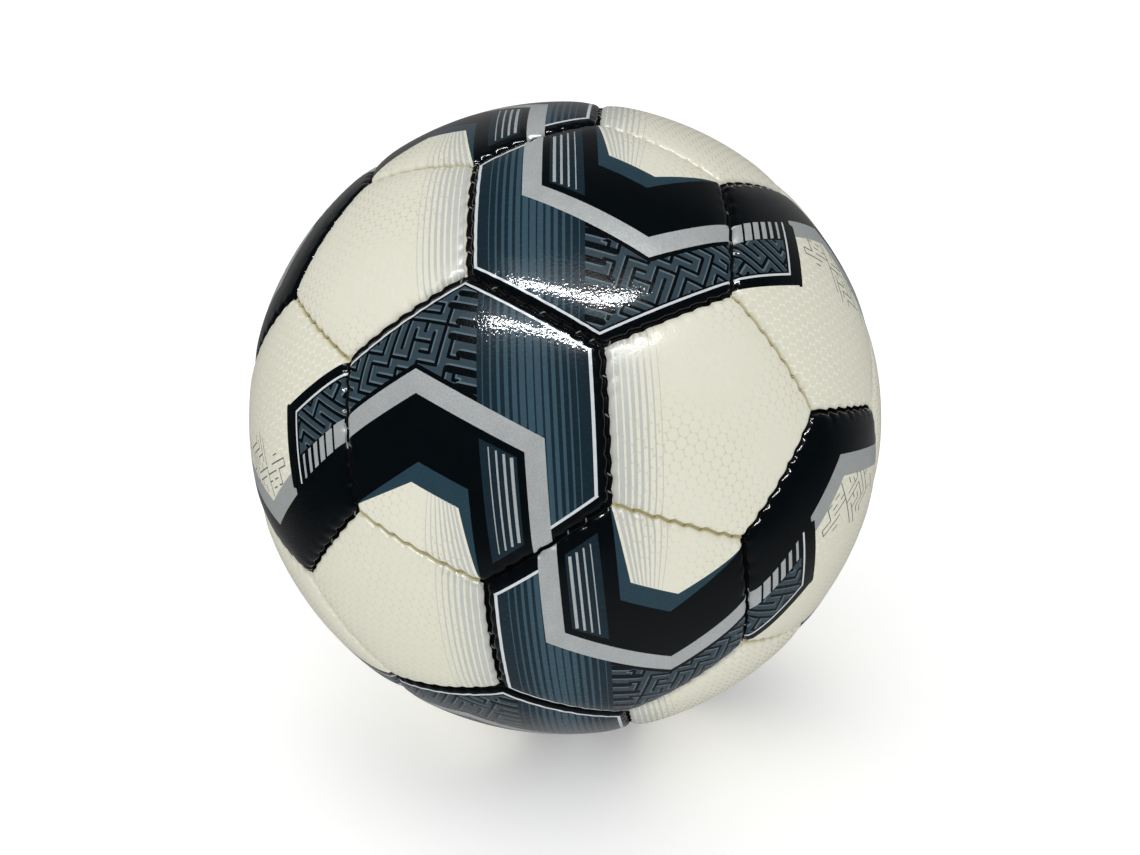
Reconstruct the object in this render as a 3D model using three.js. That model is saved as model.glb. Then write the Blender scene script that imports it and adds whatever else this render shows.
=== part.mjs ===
// A size 4 futsal ball: 32 hand-stitched cover panels, their thread, and the bladder with its valve.
//
// Millimetres, +Z up. The origin is the centre of the ball. The +X axis runs through the middle of
// the pentagon that holds the valve, and the ball rests on a small flat at its lowest point.

import * as THREE from "three";
import { mergeVertices } from "three/addons/utils/BufferGeometryUtils.js";

// ---- Driving dimensions -------------------------------------------------------------------------

const BALL_CIRCUMFERENCE = 630;
const BALL_RADIUS = BALL_CIRCUMFERENCE / (2 * Math.PI);
const CONTACT_FLAT_RADIUS = 6; // the ball's own weight presses this much of it flat

// Cover panel: a laminate of skin, foam and cloth whose edges are turned in and sewn together.
const PANEL_THICKNESS = 4;
const SEAM_DIP = 2.2; // the panel's edge lies this far under the crown
const SEAM_GAP = 1.8; // between the turned-in edges of two neighbours
const SHOULDER_INSET = 4.6; // where the panel reaches its full height, from the seam's middle
const FLANGE_DEPTH = 6.3; // how far the turned-in edge reaches below the panel's edge
const FLANGE_THICKNESS = 2;

// Seam thread: the waxed stitching that fills the bottom of each seam.
const THREAD_WIDTH = 1.2;
const THREAD_TOP_DEPTH = 3.1; // below the crown
const THREAD_BOTTOM_DEPTH = 5.6;

// Bladder, with its balance patch opposite the valve.
const BLADDER_CLEARANCE = 0.6;
const BLADDER_RADIUS = BALL_RADIUS - SEAM_DIP - FLANGE_DEPTH - BLADDER_CLEARANCE;
const BLADDER_WALL = 1.1;
const BLADDER_HOLE_RADIUS = 5.9;
const BALANCE_PATCH_RADIUS = 17;
const BALANCE_PATCH_THICKNESS = 1.8;

// Valve: a rubber housing bonded to the bladder, a plug pressed into it, and a cloth ring outside.
const COVER_HOLE_RADIUS = 6.4;
const HOUSING_FLANGE_RADIUS = 14;
const HOUSING_FLANGE_THICKNESS = 1.6;
const HOUSING_NECK_RADIUS = 6;
const HOUSING_STEM_RADIUS = 5.4;
const HOUSING_BORE_RADIUS = 3;
const HOUSING_SEAT_RADIUS = 4.8;
const HOUSING_SEAT_DEPTH = 2;
const HOUSING_LENGTH = 20;
const HOUSING_RECESS = 0.9; // its rim lies this far under the crown
const PLUG_HEAD_RADIUS = 4.4;
const PLUG_STEM_RADIUS = 2.7;
const PLUG_LENGTH = 17.5;
const PLUG_FOOT_SHARE = 0.75; // of the stem's radius, at its tapered foot
const PLUG_FOOT_TAPER = 2;
const PLUG_NEEDLE_HOLE_RADIUS = 1;
const PLUG_FUNNEL_RADIUS = 1.9;
const PLUG_FUNNEL_DEPTH = 1.4;
const VALVE_RING_OUTER_RADIUS = 20;
const VALVE_RING_THICKNESS = 0.8;

const TOUCH_GAP = 0.3; // between pieces that touch on the real ball

// How finely the curves are cut.
const EDGE_STEPS = 3;
const INNER_SKIN_STEPS = 1;
const INNER_RING_SHARE = 0.5; // how far out the inner skin's middle ring lies
const CROWN_RINGS = 3;
const CONTACT_FLAT_CORNERS = 12;
const BLADDER_SEGMENTS = 24;
const BLADDER_STEPS = 12;
const VALVE_SEGMENTS = 20;
const PATCH_STEPS = 3;

// The first right-hand ring pentagon stands this far above the horizontal, seen along +X.
const RING_SIZE = 5; // pentagons in the ring round each pole
const FIRST_PENTAGON_LONGITUDE = THREE.MathUtils.degToRad(18);
const BELT_REACH = 0.5; // belt hexagons lie nearer than this to the middle, in ball radii
const ANGLE_TOLERANCE = 0.01;

// ---- Materials ----------------------------------------------------------------------------------

function material(color, roughness, metalness = 0) {
  return new THREE.MeshStandardMaterial({ color, roughness, metalness });
}

const LOOKS = {
  blackPrint: () => material(0x0b1116, 0.3),
  creamSkin: () => material(0xe2e1d0, 0.38),
  thread: () => material(0xb9ae7c, 0.7),
  bladderRubber: () => material(0x2a2a2c, 0.6),
  valveRubber: () => material(0x16181a, 0.5),
  plugRubber: () => material(0xd8d6cc, 0.45),
  backingCloth: () => material(0xd9d3c0, 0.9),
};

// ---- The panel layout: a truncated icosahedron with a five-fold axis on X -------------------------

// Longitude runs around +X from the front (-Y) upwards; latitude runs from the belt towards +X.
function direction(latitude, longitude) {
  const out = Math.cos(latitude);
  return new THREE.Vector3(
    Math.sin(latitude),
    -out * Math.cos(longitude),
    out * Math.sin(longitude),
  );
}

function pentagonCentres() {
  const ringLatitude = Math.atan(0.5);
  const step = (2 * Math.PI) / RING_SIZE;
  const centres = [{ name: "pentagon_valve", at: direction(Math.PI / 2, 0) }];
  for (let i = 0; i < RING_SIZE; i += 1) {
    const longitude = FIRST_PENTAGON_LONGITUDE + i * step;
    centres.push({ name: `pentagon_right_${i + 1}`, at: direction(ringLatitude, longitude) });
  }
  for (let i = 0; i < RING_SIZE; i += 1) {
    const longitude = FIRST_PENTAGON_LONGITUDE + (i + 0.5) * step;
    centres.push({ name: `pentagon_left_${i + 1}`, at: direction(-ringLatitude, longitude) });
  }
  centres.push({ name: "pentagon_far", at: direction(-Math.PI / 2, 0) });
  return centres;
}

const PENTAGONS = pentagonCentres();
const NEIGHBOUR_ANGLE = Math.atan(2);

function areNeighbours(a, b) {
  return Math.abs(PENTAGONS[a].at.angleTo(PENTAGONS[b].at) - NEIGHBOUR_ANGLE) < ANGLE_TOLERANCE;
}

// The seam corner a third of the way from one pentagon's centre to its neighbour's.
function seamCorner(from, to) {
  return PENTAGONS[from].at.clone().lerp(PENTAGONS[to].at, 1 / 3).normalize();
}

// Sorts corners counter-clockwise around a centre, seen from outside.
function sortAround(centre, corners) {
  const across = corners[0].clone().projectOnPlane(centre).normalize();
  const up = centre.clone().cross(across);
  const angle = (corner) => Math.atan2(corner.dot(up), corner.dot(across));
  return [...corners].sort((a, b) => angle(a) - angle(b));
}

function pentagonPanels() {
  return PENTAGONS.map(({ name, at }, i) => {
    const around = PENTAGONS.keys().filter((j) => areNeighbours(i, j));
    return { name, centre: at, corners: sortAround(at, [...around].map((j) => seamCorner(i, j))) };
  });
}

function hexagonPanels() {
  const panels = [];
  for (let i = 0; i < 12; i += 1) {
    for (let j = i + 1; j < 12; j += 1) {
      for (let k = j + 1; k < 12; k += 1) {
        if (!areNeighbours(i, j) || !areNeighbours(j, k) || !areNeighbours(i, k)) continue;
        const trio = [i, j, k];
        const centre = new THREE.Vector3();
        trio.forEach((n) => centre.add(PENTAGONS[n].at));
        centre.normalize();
        const corners = trio.flatMap((a) => trio.filter((b) => b !== a).map((b) => seamCorner(a, b)));
        panels.push({ centre, corners: sortAround(centre, corners) });
      }
    }
  }
  return nameHexagons(panels);
}

function longitudeOf(point) {
  const turn = Math.atan2(point.z, -point.y) - FIRST_PENTAGON_LONGITUDE;
  return (turn + 4 * Math.PI + ANGLE_TOLERANCE) % (2 * Math.PI);
}

// Ten hexagons zigzag round the belt and five stand round each pole.
function nameHexagons(panels) {
  const groups = { belt_hexagon: [], cap_hexagon_right: [], cap_hexagon_left: [] };
  for (const panel of panels) {
    const side = panel.centre.x > 0 ? "cap_hexagon_right" : "cap_hexagon_left";
    groups[Math.abs(panel.centre.x) < BELT_REACH ? "belt_hexagon" : side].push(panel);
  }
  for (const [name, members] of Object.entries(groups)) {
    members.sort((a, b) => longitudeOf(a.centre) - longitudeOf(b.centre));
    members.forEach((panel, i) => {
      panel.name = `${name}_${i + 1}`;
    });
  }
  return panels;
}

// ---- Closed meshes from loops of points -----------------------------------------------------------

class ClosedMesh {
  constructor() {
    this.points = [];
    this.triangles = [];
  }

  add(point) {
    this.points.push(point);
    return this.points.length - 1;
  }

  addLoop(points) {
    return points.map((point) => this.add(point));
  }

  // Joins two loops that start at the same corner, whatever their numbers of points.
  bridge(outer, inner) {
    const [m, n] = [outer.length, inner.length];
    let i = 0;
    let j = 0;
    while (i < m || j < n) {
      const stepOuter = j === n || (i < m && (i + 1) / m <= (j + 1) / n + 1e-9);
      if (stepOuter) {
        this.triangles.push([outer[i % m], outer[(i + 1) % m], inner[j % n]]);
        i += 1;
      } else {
        this.triangles.push([outer[i % m], inner[(j + 1) % n], inner[j % n]]);
        j += 1;
      }
    }
  }

  // Closes a loop with a fan of triangles around one point.
  fan(loop, point, facesOut) {
    const tip = this.add(point);
    loop.forEach((index, i) => {
      const next = loop[(i + 1) % loop.length];
      this.triangles.push(facesOut ? [index, next, tip] : [next, index, tip]);
    });
  }

  geometry() {
    const geometry = new THREE.BufferGeometry();
    const positions = this.points.flatMap((p) => [p.x, p.y, p.z]);
    geometry.setAttribute("position", new THREE.Float32BufferAttribute(positions, 3));
    geometry.setIndex(this.triangles.flat());
    geometry.computeVertexNormals();
    return geometry;
  }
}

// ---- Cover panels ---------------------------------------------------------------------------------

function onSphere(point, radius) {
  return point.clone().setLength(radius);
}

function slerp(a, b, t) {
  const angle = a.angleTo(b);
  if (angle < 1e-6) return a.clone();
  const from = a.clone().multiplyScalar(Math.sin((1 - t) * angle));
  return from.addScaledVector(b, Math.sin(t * angle)).normalize();
}

// The panel's outline moved in by `inset` from the seams' middles, at one distance from the centre.
function insetLoop(panel, inset, radius, steps) {
  const count = panel.corners.length;
  const planes = panel.corners.map((corner, i) => {
    const next = panel.corners[(i + 1) % count];
    return corner.clone().cross(next).normalize();
  });
  const insetCorners = panel.corners.map((corner, i) => {
    const inward = planes[i].clone().add(planes[(i + count - 1) % count]).normalize();
    const along = inset / inward.dot(planes[i]);
    const out = Math.sqrt(radius * radius - along * along);
    return corner.clone().multiplyScalar(out).addScaledVector(inward, along);
  });
  return insetCorners.flatMap((start, i) => {
    const end = insetCorners[(i + 1) % count];
    const plane = planes[i];
    const out = Math.sqrt(radius * radius - inset * inset);
    const from = start.clone().projectOnPlane(plane).normalize();
    const to = end.clone().projectOnPlane(plane).normalize();
    return Array.from({ length: steps }, (_, step) =>
      slerp(from, to, step / steps).multiplyScalar(out).addScaledVector(plane, inset),
    );
  });
}

// Points at `radius` between a small circle around `middle` and the panel's outline.
function blendLoop(outline, middle, circleRadius, share, radius) {
  return outline.map((point) => {
    const edge = onSphere(point, 1);
    const circle = slerp(middle, edge, circleRadius / radius / middle.angleTo(edge));
    return slerp(circle, edge, share).multiplyScalar(radius);
  });
}

// The turned-in edge, from the crown's shoulder round to the inside of the flange.
function flangeLoops(mesh, panel) {
  const edgeRadius = BALL_RADIUS - SEAM_DIP;
  const wallInset = SEAM_GAP / 2;
  const tipRadius = edgeRadius - FLANGE_DEPTH;
  const backInset = wallInset + FLANGE_THICKNESS;
  const profile = [
    [SHOULDER_INSET, BALL_RADIUS],
    [wallInset, edgeRadius],
    [wallInset, tipRadius],
    [backInset, tipRadius],
    [backInset, BALL_RADIUS - PANEL_THICKNESS],
  ];
  return profile.map(([inset, radius]) => mesh.addLoop(insetLoop(panel, inset, radius, EDGE_STEPS)));
}

function bridgeAll(mesh, loops) {
  loops.slice(1).forEach((loop, i) => mesh.bridge(loop, loops[i]));
}

// Loops over the crown, from a circle around `middle` out towards the shoulder.
function crownLoops(mesh, panel, middle, circleRadius, rings) {
  return rings.map(({ share, steps }) => {
    const outline = insetLoop(panel, SHOULDER_INSET, BALL_RADIUS, steps);
    return mesh.addLoop(blendLoop(outline, middle, circleRadius, share, BALL_RADIUS));
  });
}

function innerSkinLoop(mesh, panel, circleRadius, share, steps) {
  const radius = BALL_RADIUS - PANEL_THICKNESS;
  const outline = insetLoop(panel, SHOULDER_INSET, radius, steps);
  return mesh.addLoop(blendLoop(outline, panel.centre, circleRadius, share, radius));
}

function closeInnerSkin(mesh, panel, loop) {
  mesh.fan(loop, onSphere(panel.centre, BALL_RADIUS - PANEL_THICKNESS), false);
}

// A plain panel: crown, shoulder, flange and inner skin.
function plainPanel(panel) {
  const mesh = new ClosedMesh();
  const rings = evenRings(CROWN_RINGS, (ring) => ring).slice(1);
  const crown = crownLoops(mesh, panel, panel.centre, 0, rings);
  const inner = innerSkinLoop(mesh, panel, 0, INNER_RING_SHARE, INNER_SKIN_STEPS);
  mesh.fan(crown[0], onSphere(panel.centre, BALL_RADIUS), true);
  bridgeAll(mesh, [...crown, ...flangeLoops(mesh, panel), inner]);
  closeInnerSkin(mesh, panel, inner);
  return mesh.geometry();
}

function evenRings(count, stepsAt) {
  return Array.from({ length: count }, (_, ring) => ({ share: ring / count, steps: stepsAt(ring) }));
}

// The lowest panel, whose crown is pressed flat around the point under the ball's centre.
function restingPanel(panel) {
  const mesh = new ClosedMesh();
  const down = new THREE.Vector3(0, 0, -1);
  const flatHeight = Math.sqrt(BALL_RADIUS ** 2 - CONTACT_FLAT_RADIUS ** 2);
  const steps = CONTACT_FLAT_CORNERS / panel.corners.length;
  const rings = evenRings(CROWN_RINGS + 1, () => steps);
  const crown = crownLoops(mesh, panel, down, CONTACT_FLAT_RADIUS, rings);
  crown[0].forEach((index) => {
    mesh.points[index].z = -flatHeight;
  });
  const inner = innerSkinLoop(mesh, panel, 0, INNER_RING_SHARE, INNER_SKIN_STEPS);
  mesh.fan(crown[0], down.clone().multiplyScalar(flatHeight), true);
  bridgeAll(mesh, [...crown, ...flangeLoops(mesh, panel), inner]);
  closeInnerSkin(mesh, panel, inner);
  return mesh.geometry();
}

// The valve's panel, with a round hole through its middle.
function valvePanel(panel) {
  const mesh = new ClosedMesh();
  const steps = VALVE_SEGMENTS / panel.corners.length;
  const rings = evenRings(CROWN_RINGS, () => steps);
  const crown = crownLoops(mesh, panel, panel.centre, COVER_HOLE_RADIUS, rings);
  const inner = innerSkinLoop(
    mesh,
    panel,
    COVER_HOLE_RADIUS,
    INNER_RING_SHARE,
    INNER_SKIN_STEPS + 1,
  );
  const hole = innerSkinLoop(mesh, panel, COVER_HOLE_RADIUS, 0, steps);
  bridgeAll(mesh, [...crown, ...flangeLoops(mesh, panel), inner, hole, crown[0]]);
  return mesh.geometry();
}

// ---- Seam thread ----------------------------------------------------------------------------------

function cornerKey(corner) {
  return corner.toArray().map((value) => Math.round(value * 1000)).join(" ");
}

// One net of stitching: an arm along every seam, joined where three seams meet. Each panel gives
// the arms' two long corners on its side of the seam, at the top and at the bottom of the thread.
function threadNet(panels) {
  const mesh = new ClosedMesh();
  const radii = [BALL_RADIUS - THREAD_TOP_DEPTH, BALL_RADIUS - THREAD_BOTTOM_DEPTH];
  const sides = new Map();
  const junctions = new Map();
  for (const panel of panels) {
    const count = panel.corners.length;
    const loops = radii.map((radius) =>
      mesh.addLoop(insetLoop(panel, THREAD_WIDTH / 2, radius, EDGE_STEPS)),
    );
    mesh.bridge(loops[0], loops[1]);
    panel.corners.forEach((corner, i) => {
      const next = panel.corners[(i + 1) % count];
      const run = Array.from({ length: EDGE_STEPS + 1 }, (_, step) => {
        const at = (i * EDGE_STEPS + step) % (count * EDGE_STEPS);
        return loops.map((loop) => loop[at]);
      });
      sides.set(`${cornerKey(corner)} ${cornerKey(next)}`, run);
      const meeting = junctions.get(cornerKey(corner)) ?? { at: corner, ends: [] };
      meeting.ends.push({ towards: panel.centre, ids: run[0] });
      junctions.set(cornerKey(corner), meeting);
    });
  }
  roofSeams(mesh, panels, sides);
  junctions.forEach((meeting) => roofJunction(mesh, meeting));
  return mesh.geometry();
}

// The outer and inner faces of the arm between two neighbouring panels.
function roofSeams(mesh, panels, sides) {
  for (const panel of panels) {
    panel.corners.forEach((corner, i) => {
      const next = panel.corners[(i + 1) % panel.corners.length];
      const here = sides.get(`${cornerKey(corner)} ${cornerKey(next)}`);
      const there = sides.get(`${cornerKey(next)} ${cornerKey(corner)}`);
      for (let step = 0; step < EDGE_STEPS; step += 1) {
        const [a, b] = [here[step], here[step + 1]];
        const opposite = there[EDGE_STEPS - step];
        mesh.triangles.push([b[0], a[0], opposite[0]]);
        mesh.triangles.push([a[1], b[1], opposite[1]]);
      }
    });
  }
}

function roofJunction(mesh, meeting) {
  const order = sortAround(meeting.at, meeting.ends.map((end) => end.towards));
  const ids = order.map((towards) => meeting.ends.find((end) => end.towards === towards).ids);
  mesh.triangles.push([ids[0][0], ids[1][0], ids[2][0]]);
  mesh.triangles.push([ids[2][1], ids[1][1], ids[0][1]]);
}

// ---- Turned pieces on the X axis --------------------------------------------------------------------

// Turns a closed profile of [distance from axis, distance along X] about the X axis.
function turned(profile, segments) {
  const points = profile.map(([out, along]) => new THREE.Vector2(out, along));
  const lathe = new THREE.LatheGeometry(points, segments);
  lathe.rotateZ(-Math.PI / 2);
  lathe.deleteAttribute("normal");
  lathe.deleteAttribute("uv");
  const geometry = mergeVertices(lathe);
  geometry.setIndex(trianglesWithArea(geometry.index.array));
  geometry.computeVertexNormals();
  return geometry;
}

// Drops the triangles that shrink to a line where the profile meets the axis.
function trianglesWithArea(index) {
  const kept = [];
  for (let i = 0; i < index.length; i += 3) {
    const corners = Array.from(index.slice(i, i + 3));
    if (new Set(corners).size === 3) kept.push(...corners);
  }
  return kept;
}

// Profile points on an arc about the ball's centre, between two distances from the X axis.
function arc(radius, fromOut, toOut, steps) {
  const start = Math.asin(fromOut / radius);
  const end = Math.asin(toOut / radius);
  return Array.from({ length: steps + 1 }, (_, step) => {
    const angle = start + ((end - start) * step) / steps;
    return [radius * Math.sin(angle), radius * Math.cos(angle)];
  });
}

function bladder() {
  const shell = (radius) => {
    const start = Math.asin(BLADDER_HOLE_RADIUS / radius);
    return Array.from({ length: BLADDER_STEPS + 1 }, (_, step) => {
      const angle = start + ((Math.PI - start) * step) / BLADDER_STEPS;
      const out = step === BLADDER_STEPS ? 0 : radius * Math.sin(angle);
      return [out, radius * Math.cos(angle)];
    });
  };
  const outer = shell(BLADDER_RADIUS).reverse();
  return turned([...outer, ...shell(BLADDER_RADIUS - BLADDER_WALL)], BLADDER_SEGMENTS);
}

function balancePatch() {
  const low = BLADDER_RADIUS + TOUCH_GAP;
  const high = low + BALANCE_PATCH_THICKNESS;
  const outer = arc(high, BALANCE_PATCH_RADIUS, 0, PATCH_STEPS);
  const inner = arc(low, 0, BALANCE_PATCH_RADIUS, PATCH_STEPS);
  const geometry = turned([...inner, ...outer], BLADDER_SEGMENTS);
  geometry.rotateY(Math.PI);
  return geometry;
}

function valveHousing() {
  const rim = BALL_RADIUS - HOUSING_RECESS;
  const flangeLow = BLADDER_RADIUS + TOUCH_GAP;
  const flangeHigh = flangeLow + HOUSING_FLANGE_THICKNESS;
  const flangeTop = arc(flangeHigh, HOUSING_NECK_RADIUS, HOUSING_FLANGE_RADIUS, 2).reverse();
  const flangeUnderside = arc(flangeLow, HOUSING_STEM_RADIUS, HOUSING_FLANGE_RADIUS, 2);
  const floor = rim - HOUSING_LENGTH;
  const profile = [
    [HOUSING_BORE_RADIUS, floor],
    [HOUSING_STEM_RADIUS, floor],
    ...flangeUnderside,
    ...flangeTop,
    [HOUSING_NECK_RADIUS, rim],
    [HOUSING_SEAT_RADIUS, rim],
    [HOUSING_SEAT_RADIUS, rim - HOUSING_SEAT_DEPTH],
    [HOUSING_BORE_RADIUS, rim - HOUSING_SEAT_DEPTH],
    [HOUSING_BORE_RADIUS, floor],
  ];
  return turned(profile, VALVE_SEGMENTS);
}

const PLUG_FACE = BALL_RADIUS - HOUSING_RECESS;

function valvePlug() {
  const neck = PLUG_FACE - HOUSING_SEAT_DEPTH + TOUCH_GAP;
  const foot = PLUG_FACE - PLUG_LENGTH;
  const profile = [
    [PLUG_NEEDLE_HOLE_RADIUS, foot],
    [PLUG_STEM_RADIUS * PLUG_FOOT_SHARE, foot],
    [PLUG_STEM_RADIUS, foot + PLUG_FOOT_TAPER],
    [PLUG_STEM_RADIUS, neck],
    [PLUG_HEAD_RADIUS, neck],
    [PLUG_HEAD_RADIUS, PLUG_FACE],
    [PLUG_FUNNEL_RADIUS, PLUG_FACE],
    [PLUG_NEEDLE_HOLE_RADIUS, PLUG_FACE - PLUG_FUNNEL_DEPTH],
    [PLUG_NEEDLE_HOLE_RADIUS, foot],
  ];
  return turned(profile, VALVE_SEGMENTS);
}

function valveRing() {
  const low = BLADDER_RADIUS + HOUSING_FLANGE_THICKNESS + 2 * TOUCH_GAP;
  const high = low + VALVE_RING_THICKNESS;
  const outer = arc(high, COVER_HOLE_RADIUS, VALVE_RING_OUTER_RADIUS, PATCH_STEPS).reverse();
  const inner = arc(low, COVER_HOLE_RADIUS, VALVE_RING_OUTER_RADIUS, PATCH_STEPS);
  return turned([...inner, ...outer, inner[0]], BLADDER_SEGMENTS);
}

// ---- Assembly -----------------------------------------------------------------------------------------

function panelGeometry(panel, lowest) {
  if (panel.name === "pentagon_valve") return valvePanel(panel);
  return panel === lowest ? restingPanel(panel) : plainPanel(panel);
}

function buildBall() {
  const ball = new THREE.Group();
  const addPiece = (name, geometry, look) => {
    const piece = new THREE.Mesh(geometry, LOOKS[look]());
    piece.name = name;
    ball.add(piece);
  };
  const panels = [...pentagonPanels(), ...hexagonPanels()];
  const height = (panel) => panel.centre.z;
  const lowest = panels.reduce((low, panel) => (height(panel) < height(low) ? panel : low));
  for (const panel of panels) {
    const look = panel.name.startsWith("belt") ? "blackPrint" : "creamSkin";
    addPiece(panel.name, panelGeometry(panel, lowest), look);
  }
  addPiece("seam_thread", threadNet(panels), "thread");
  addPiece("bladder", bladder(), "bladderRubber");
  addPiece("balance_patch", balancePatch(), "bladderRubber");
  addPiece("valve_housing", valveHousing(), "valveRubber");
  addPiece("valve_plug", valvePlug(), "plugRubber");
  addPiece("valve_ring", valveRing(), "backingCloth");
  return ball;
}

export default buildBall();
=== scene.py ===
"""The looks of a size 4 futsal ball: 32 printed cover panels, their stitching, the bladder and valve.

Every panel is a closed mesh in its own plane coordinates: x and y in millimetres on the plane that
touches the ball at the panel's middle, projected from the ball's centre.
"""

import math
import random

import bpy
import numpy as np
from mathutils import Matrix, Vector
from mathutils.geometry import delaunay_2d_cdt


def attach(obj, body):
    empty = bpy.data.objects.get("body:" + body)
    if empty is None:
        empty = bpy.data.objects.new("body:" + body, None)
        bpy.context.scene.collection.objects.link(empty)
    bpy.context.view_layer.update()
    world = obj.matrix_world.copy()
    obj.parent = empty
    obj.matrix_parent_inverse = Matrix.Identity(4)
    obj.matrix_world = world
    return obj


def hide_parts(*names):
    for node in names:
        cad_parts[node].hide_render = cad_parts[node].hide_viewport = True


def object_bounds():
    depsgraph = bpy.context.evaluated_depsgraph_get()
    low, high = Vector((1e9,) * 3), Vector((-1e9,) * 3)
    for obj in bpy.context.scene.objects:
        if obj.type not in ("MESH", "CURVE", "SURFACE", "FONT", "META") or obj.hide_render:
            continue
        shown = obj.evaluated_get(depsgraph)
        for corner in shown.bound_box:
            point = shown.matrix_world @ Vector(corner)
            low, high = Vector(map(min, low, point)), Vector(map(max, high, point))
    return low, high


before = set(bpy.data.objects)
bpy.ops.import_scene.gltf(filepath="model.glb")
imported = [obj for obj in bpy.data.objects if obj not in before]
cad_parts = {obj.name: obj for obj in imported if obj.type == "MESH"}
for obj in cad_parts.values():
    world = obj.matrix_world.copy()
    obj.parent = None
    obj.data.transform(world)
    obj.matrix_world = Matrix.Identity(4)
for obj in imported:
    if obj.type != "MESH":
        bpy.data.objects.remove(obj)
CAD_LOW, CAD_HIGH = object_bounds()

MM = 0.001
BALL_RADIUS = -CAD_LOW.x / MM
REST_HEIGHT = CAD_LOW.z / MM

# ---- Panel layout: a truncated icosahedron with its five-fold axis on X ----

HEX_HALF_ANGLE = math.acos(math.sqrt(5) / 3) / 2
PENT_HALF_ANGLE = math.acos(math.sqrt((5 + 2 * math.sqrt(5)) / 15)) - HEX_HALF_ANGLE
HEX_APOTHEM = BALL_RADIUS * math.tan(HEX_HALF_ANGLE)
PENT_APOTHEM = BALL_RADIUS * math.tan(PENT_HALF_ANGLE)
RING_LATITUDE = math.atan(0.5)
BELT_LATITUDE = math.radians(10.8123)
CAP_LATITUDE = math.radians(52.6226)
FIRST_LONGITUDE = math.radians(18)
FIFTH = 2 * math.pi / 5

# ---- Sewn edges, in millimetres ----

RIM_INSET = 0.34  # the skin's edge, from the seam's middle
LIP_DEPTH = 1.6  # how far the skin rolls down into the seam
LIP_WIDTH = 2.0
PUFF_DEPTH = 0.6  # the wider fall of the crown towards its seams
PUFF_WIDTH = 4.5
STITCH_PITCH = 5.4
STITCH_STRAY = 0.7
STITCH_PULL = 0.42  # how far a stitch pulls the skin down beside it
STITCH_REACH = 2.3
SEAM_WAVE = 0.26  # how far the seam's line swings between stitches
SEAM_WAVE_REACH = 1.8
CORNER_FREE = 4.0  # no stitch this close to a seam's end
CORNER_BLEND = 0.7  # how softly the falls of two seams join at a corner
UNDULATION = 0.16
FLANGE = (  # inset and depth of the turned-in edge, from under the lip round to the back
    (0.72, 2.7),
    (0.95, 3.2),
    (0.95, 8.1),
    (1.35, 8.5),
    (2.55, 8.5),
    (2.9, 8.1),
    (2.9, 4.7),
)
FLANGE_SPREAD = 0.55  # how far apart the flange's rings lie in the pattern map
DARK_RINGS = 3  # so many of the flange's rings show in the seam; the rest is cloth
BACK_DEPTH = 4.4
BACK_RINGS = (0.66, 0.33)  # as parts of the back's width
HOLE_RADIUS = 6.4
HOLE_ROUNDING = 1.3
HOLE_CORNERS = 48
RIM_STEP = 0.9
RIM_BAND = 0.62  # this near to the seam's middle the skin is dark, partly painted shade, or bare
PRINT_STEP = 2.2
GRID_STEP = 2.1
SHOULDER_ROWS = (1.0, 1.3, 1.6, 2.15, 2.85, 3.8, 5.0, 6.4)


def direction(latitude, longitude):
    """A unit vector; longitude runs round +X from the front (-Y) upwards."""
    out = math.cos(latitude)
    return np.array([math.sin(latitude), -out * math.cos(longitude), out * math.sin(longitude)])


def unit(vector):
    return vector / np.linalg.norm(vector)


class Seam:
    """One seam, the same for both panels beside it. Lengths along it are in millimetres."""

    def __init__(self, start, end, seed):
        rng = random.Random(seed)
        self.start = unit(start)
        self.normal = unit(np.cross(start, end))
        self.across = np.cross(self.normal, self.start)
        self.length = BALL_RADIUS * math.acos(np.clip(unit(start) @ unit(end), -1, 1))
        count = round(self.length / STITCH_PITCH)
        pitch = self.length / count
        places = [(i - 0.5) * pitch + rng.uniform(-1, 1) * STITCH_STRAY for i in range(count + 2)]
        self.stitches = np.array(places)
        self.pulls = np.array([rng.uniform(0.35, 1.5) for _ in places])
        self.swings = np.array([rng.uniform(0.4, 1.5) for _ in places])
        self.sides = []

    def along(self, points):
        """How far along the seam each point lies."""
        return BALL_RADIUS * np.arctan2(points @ self.across, points @ self.start)

    def phase(self, t):
        """The stitch phase: a whole number at each stitch."""
        return np.interp(t, self.stitches, np.arange(len(self.stitches)))

    def open_part(self, t):
        """1 along the seam, falling to 0 at its two corners."""
        near = np.minimum(t, self.length - t)
        return smooth(near / CORNER_FREE)

    def swing(self, t):
        """The seam's sideways wave: a slow rise and a quick fall between two stitches."""
        turn = 2 * math.pi * self.phase(t)
        size = SEAM_WAVE * np.interp(t, self.stitches, self.swings)
        return size * np.sin(turn + 0.6 * np.sin(turn)) * self.open_part(t)

    def pale_on_both_sides(self, t):
        found = np.ones(len(t), bool)
        for along, pale in self.sides:
            order = np.argsort(along)
            found &= np.interp(t, along[order], pale[order].astype(float)) > 0.5
        return found

    def stitched(self, t):
        """Near 1 in the notch at a stitch and 0 on the swell between two."""
        swell = np.sqrt(np.sin(math.pi * self.phase(t)) ** 2 + 0.01)
        pull = np.interp(t, self.stitches, self.pulls)
        return pull * np.maximum(1.1 - swell * 1.1, 0) * self.open_part(t)


def smooth(share):
    share = np.clip(share, 0, 1)
    return share * share * (3 - 2 * share)


SEAMS = {}


def seam_between(a, b):
    """The seam from corner a to corner b, made once for the two panels that share it."""
    low, high = sorted((tuple(np.round(unit(a), 4) + 0.0), tuple(np.round(unit(b), 4) + 0.0)))
    key = (low, high)
    if key not in SEAMS:
        SEAMS[key] = Seam(np.array(low), np.array(high), len(SEAMS))
    return SEAMS[key]


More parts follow.
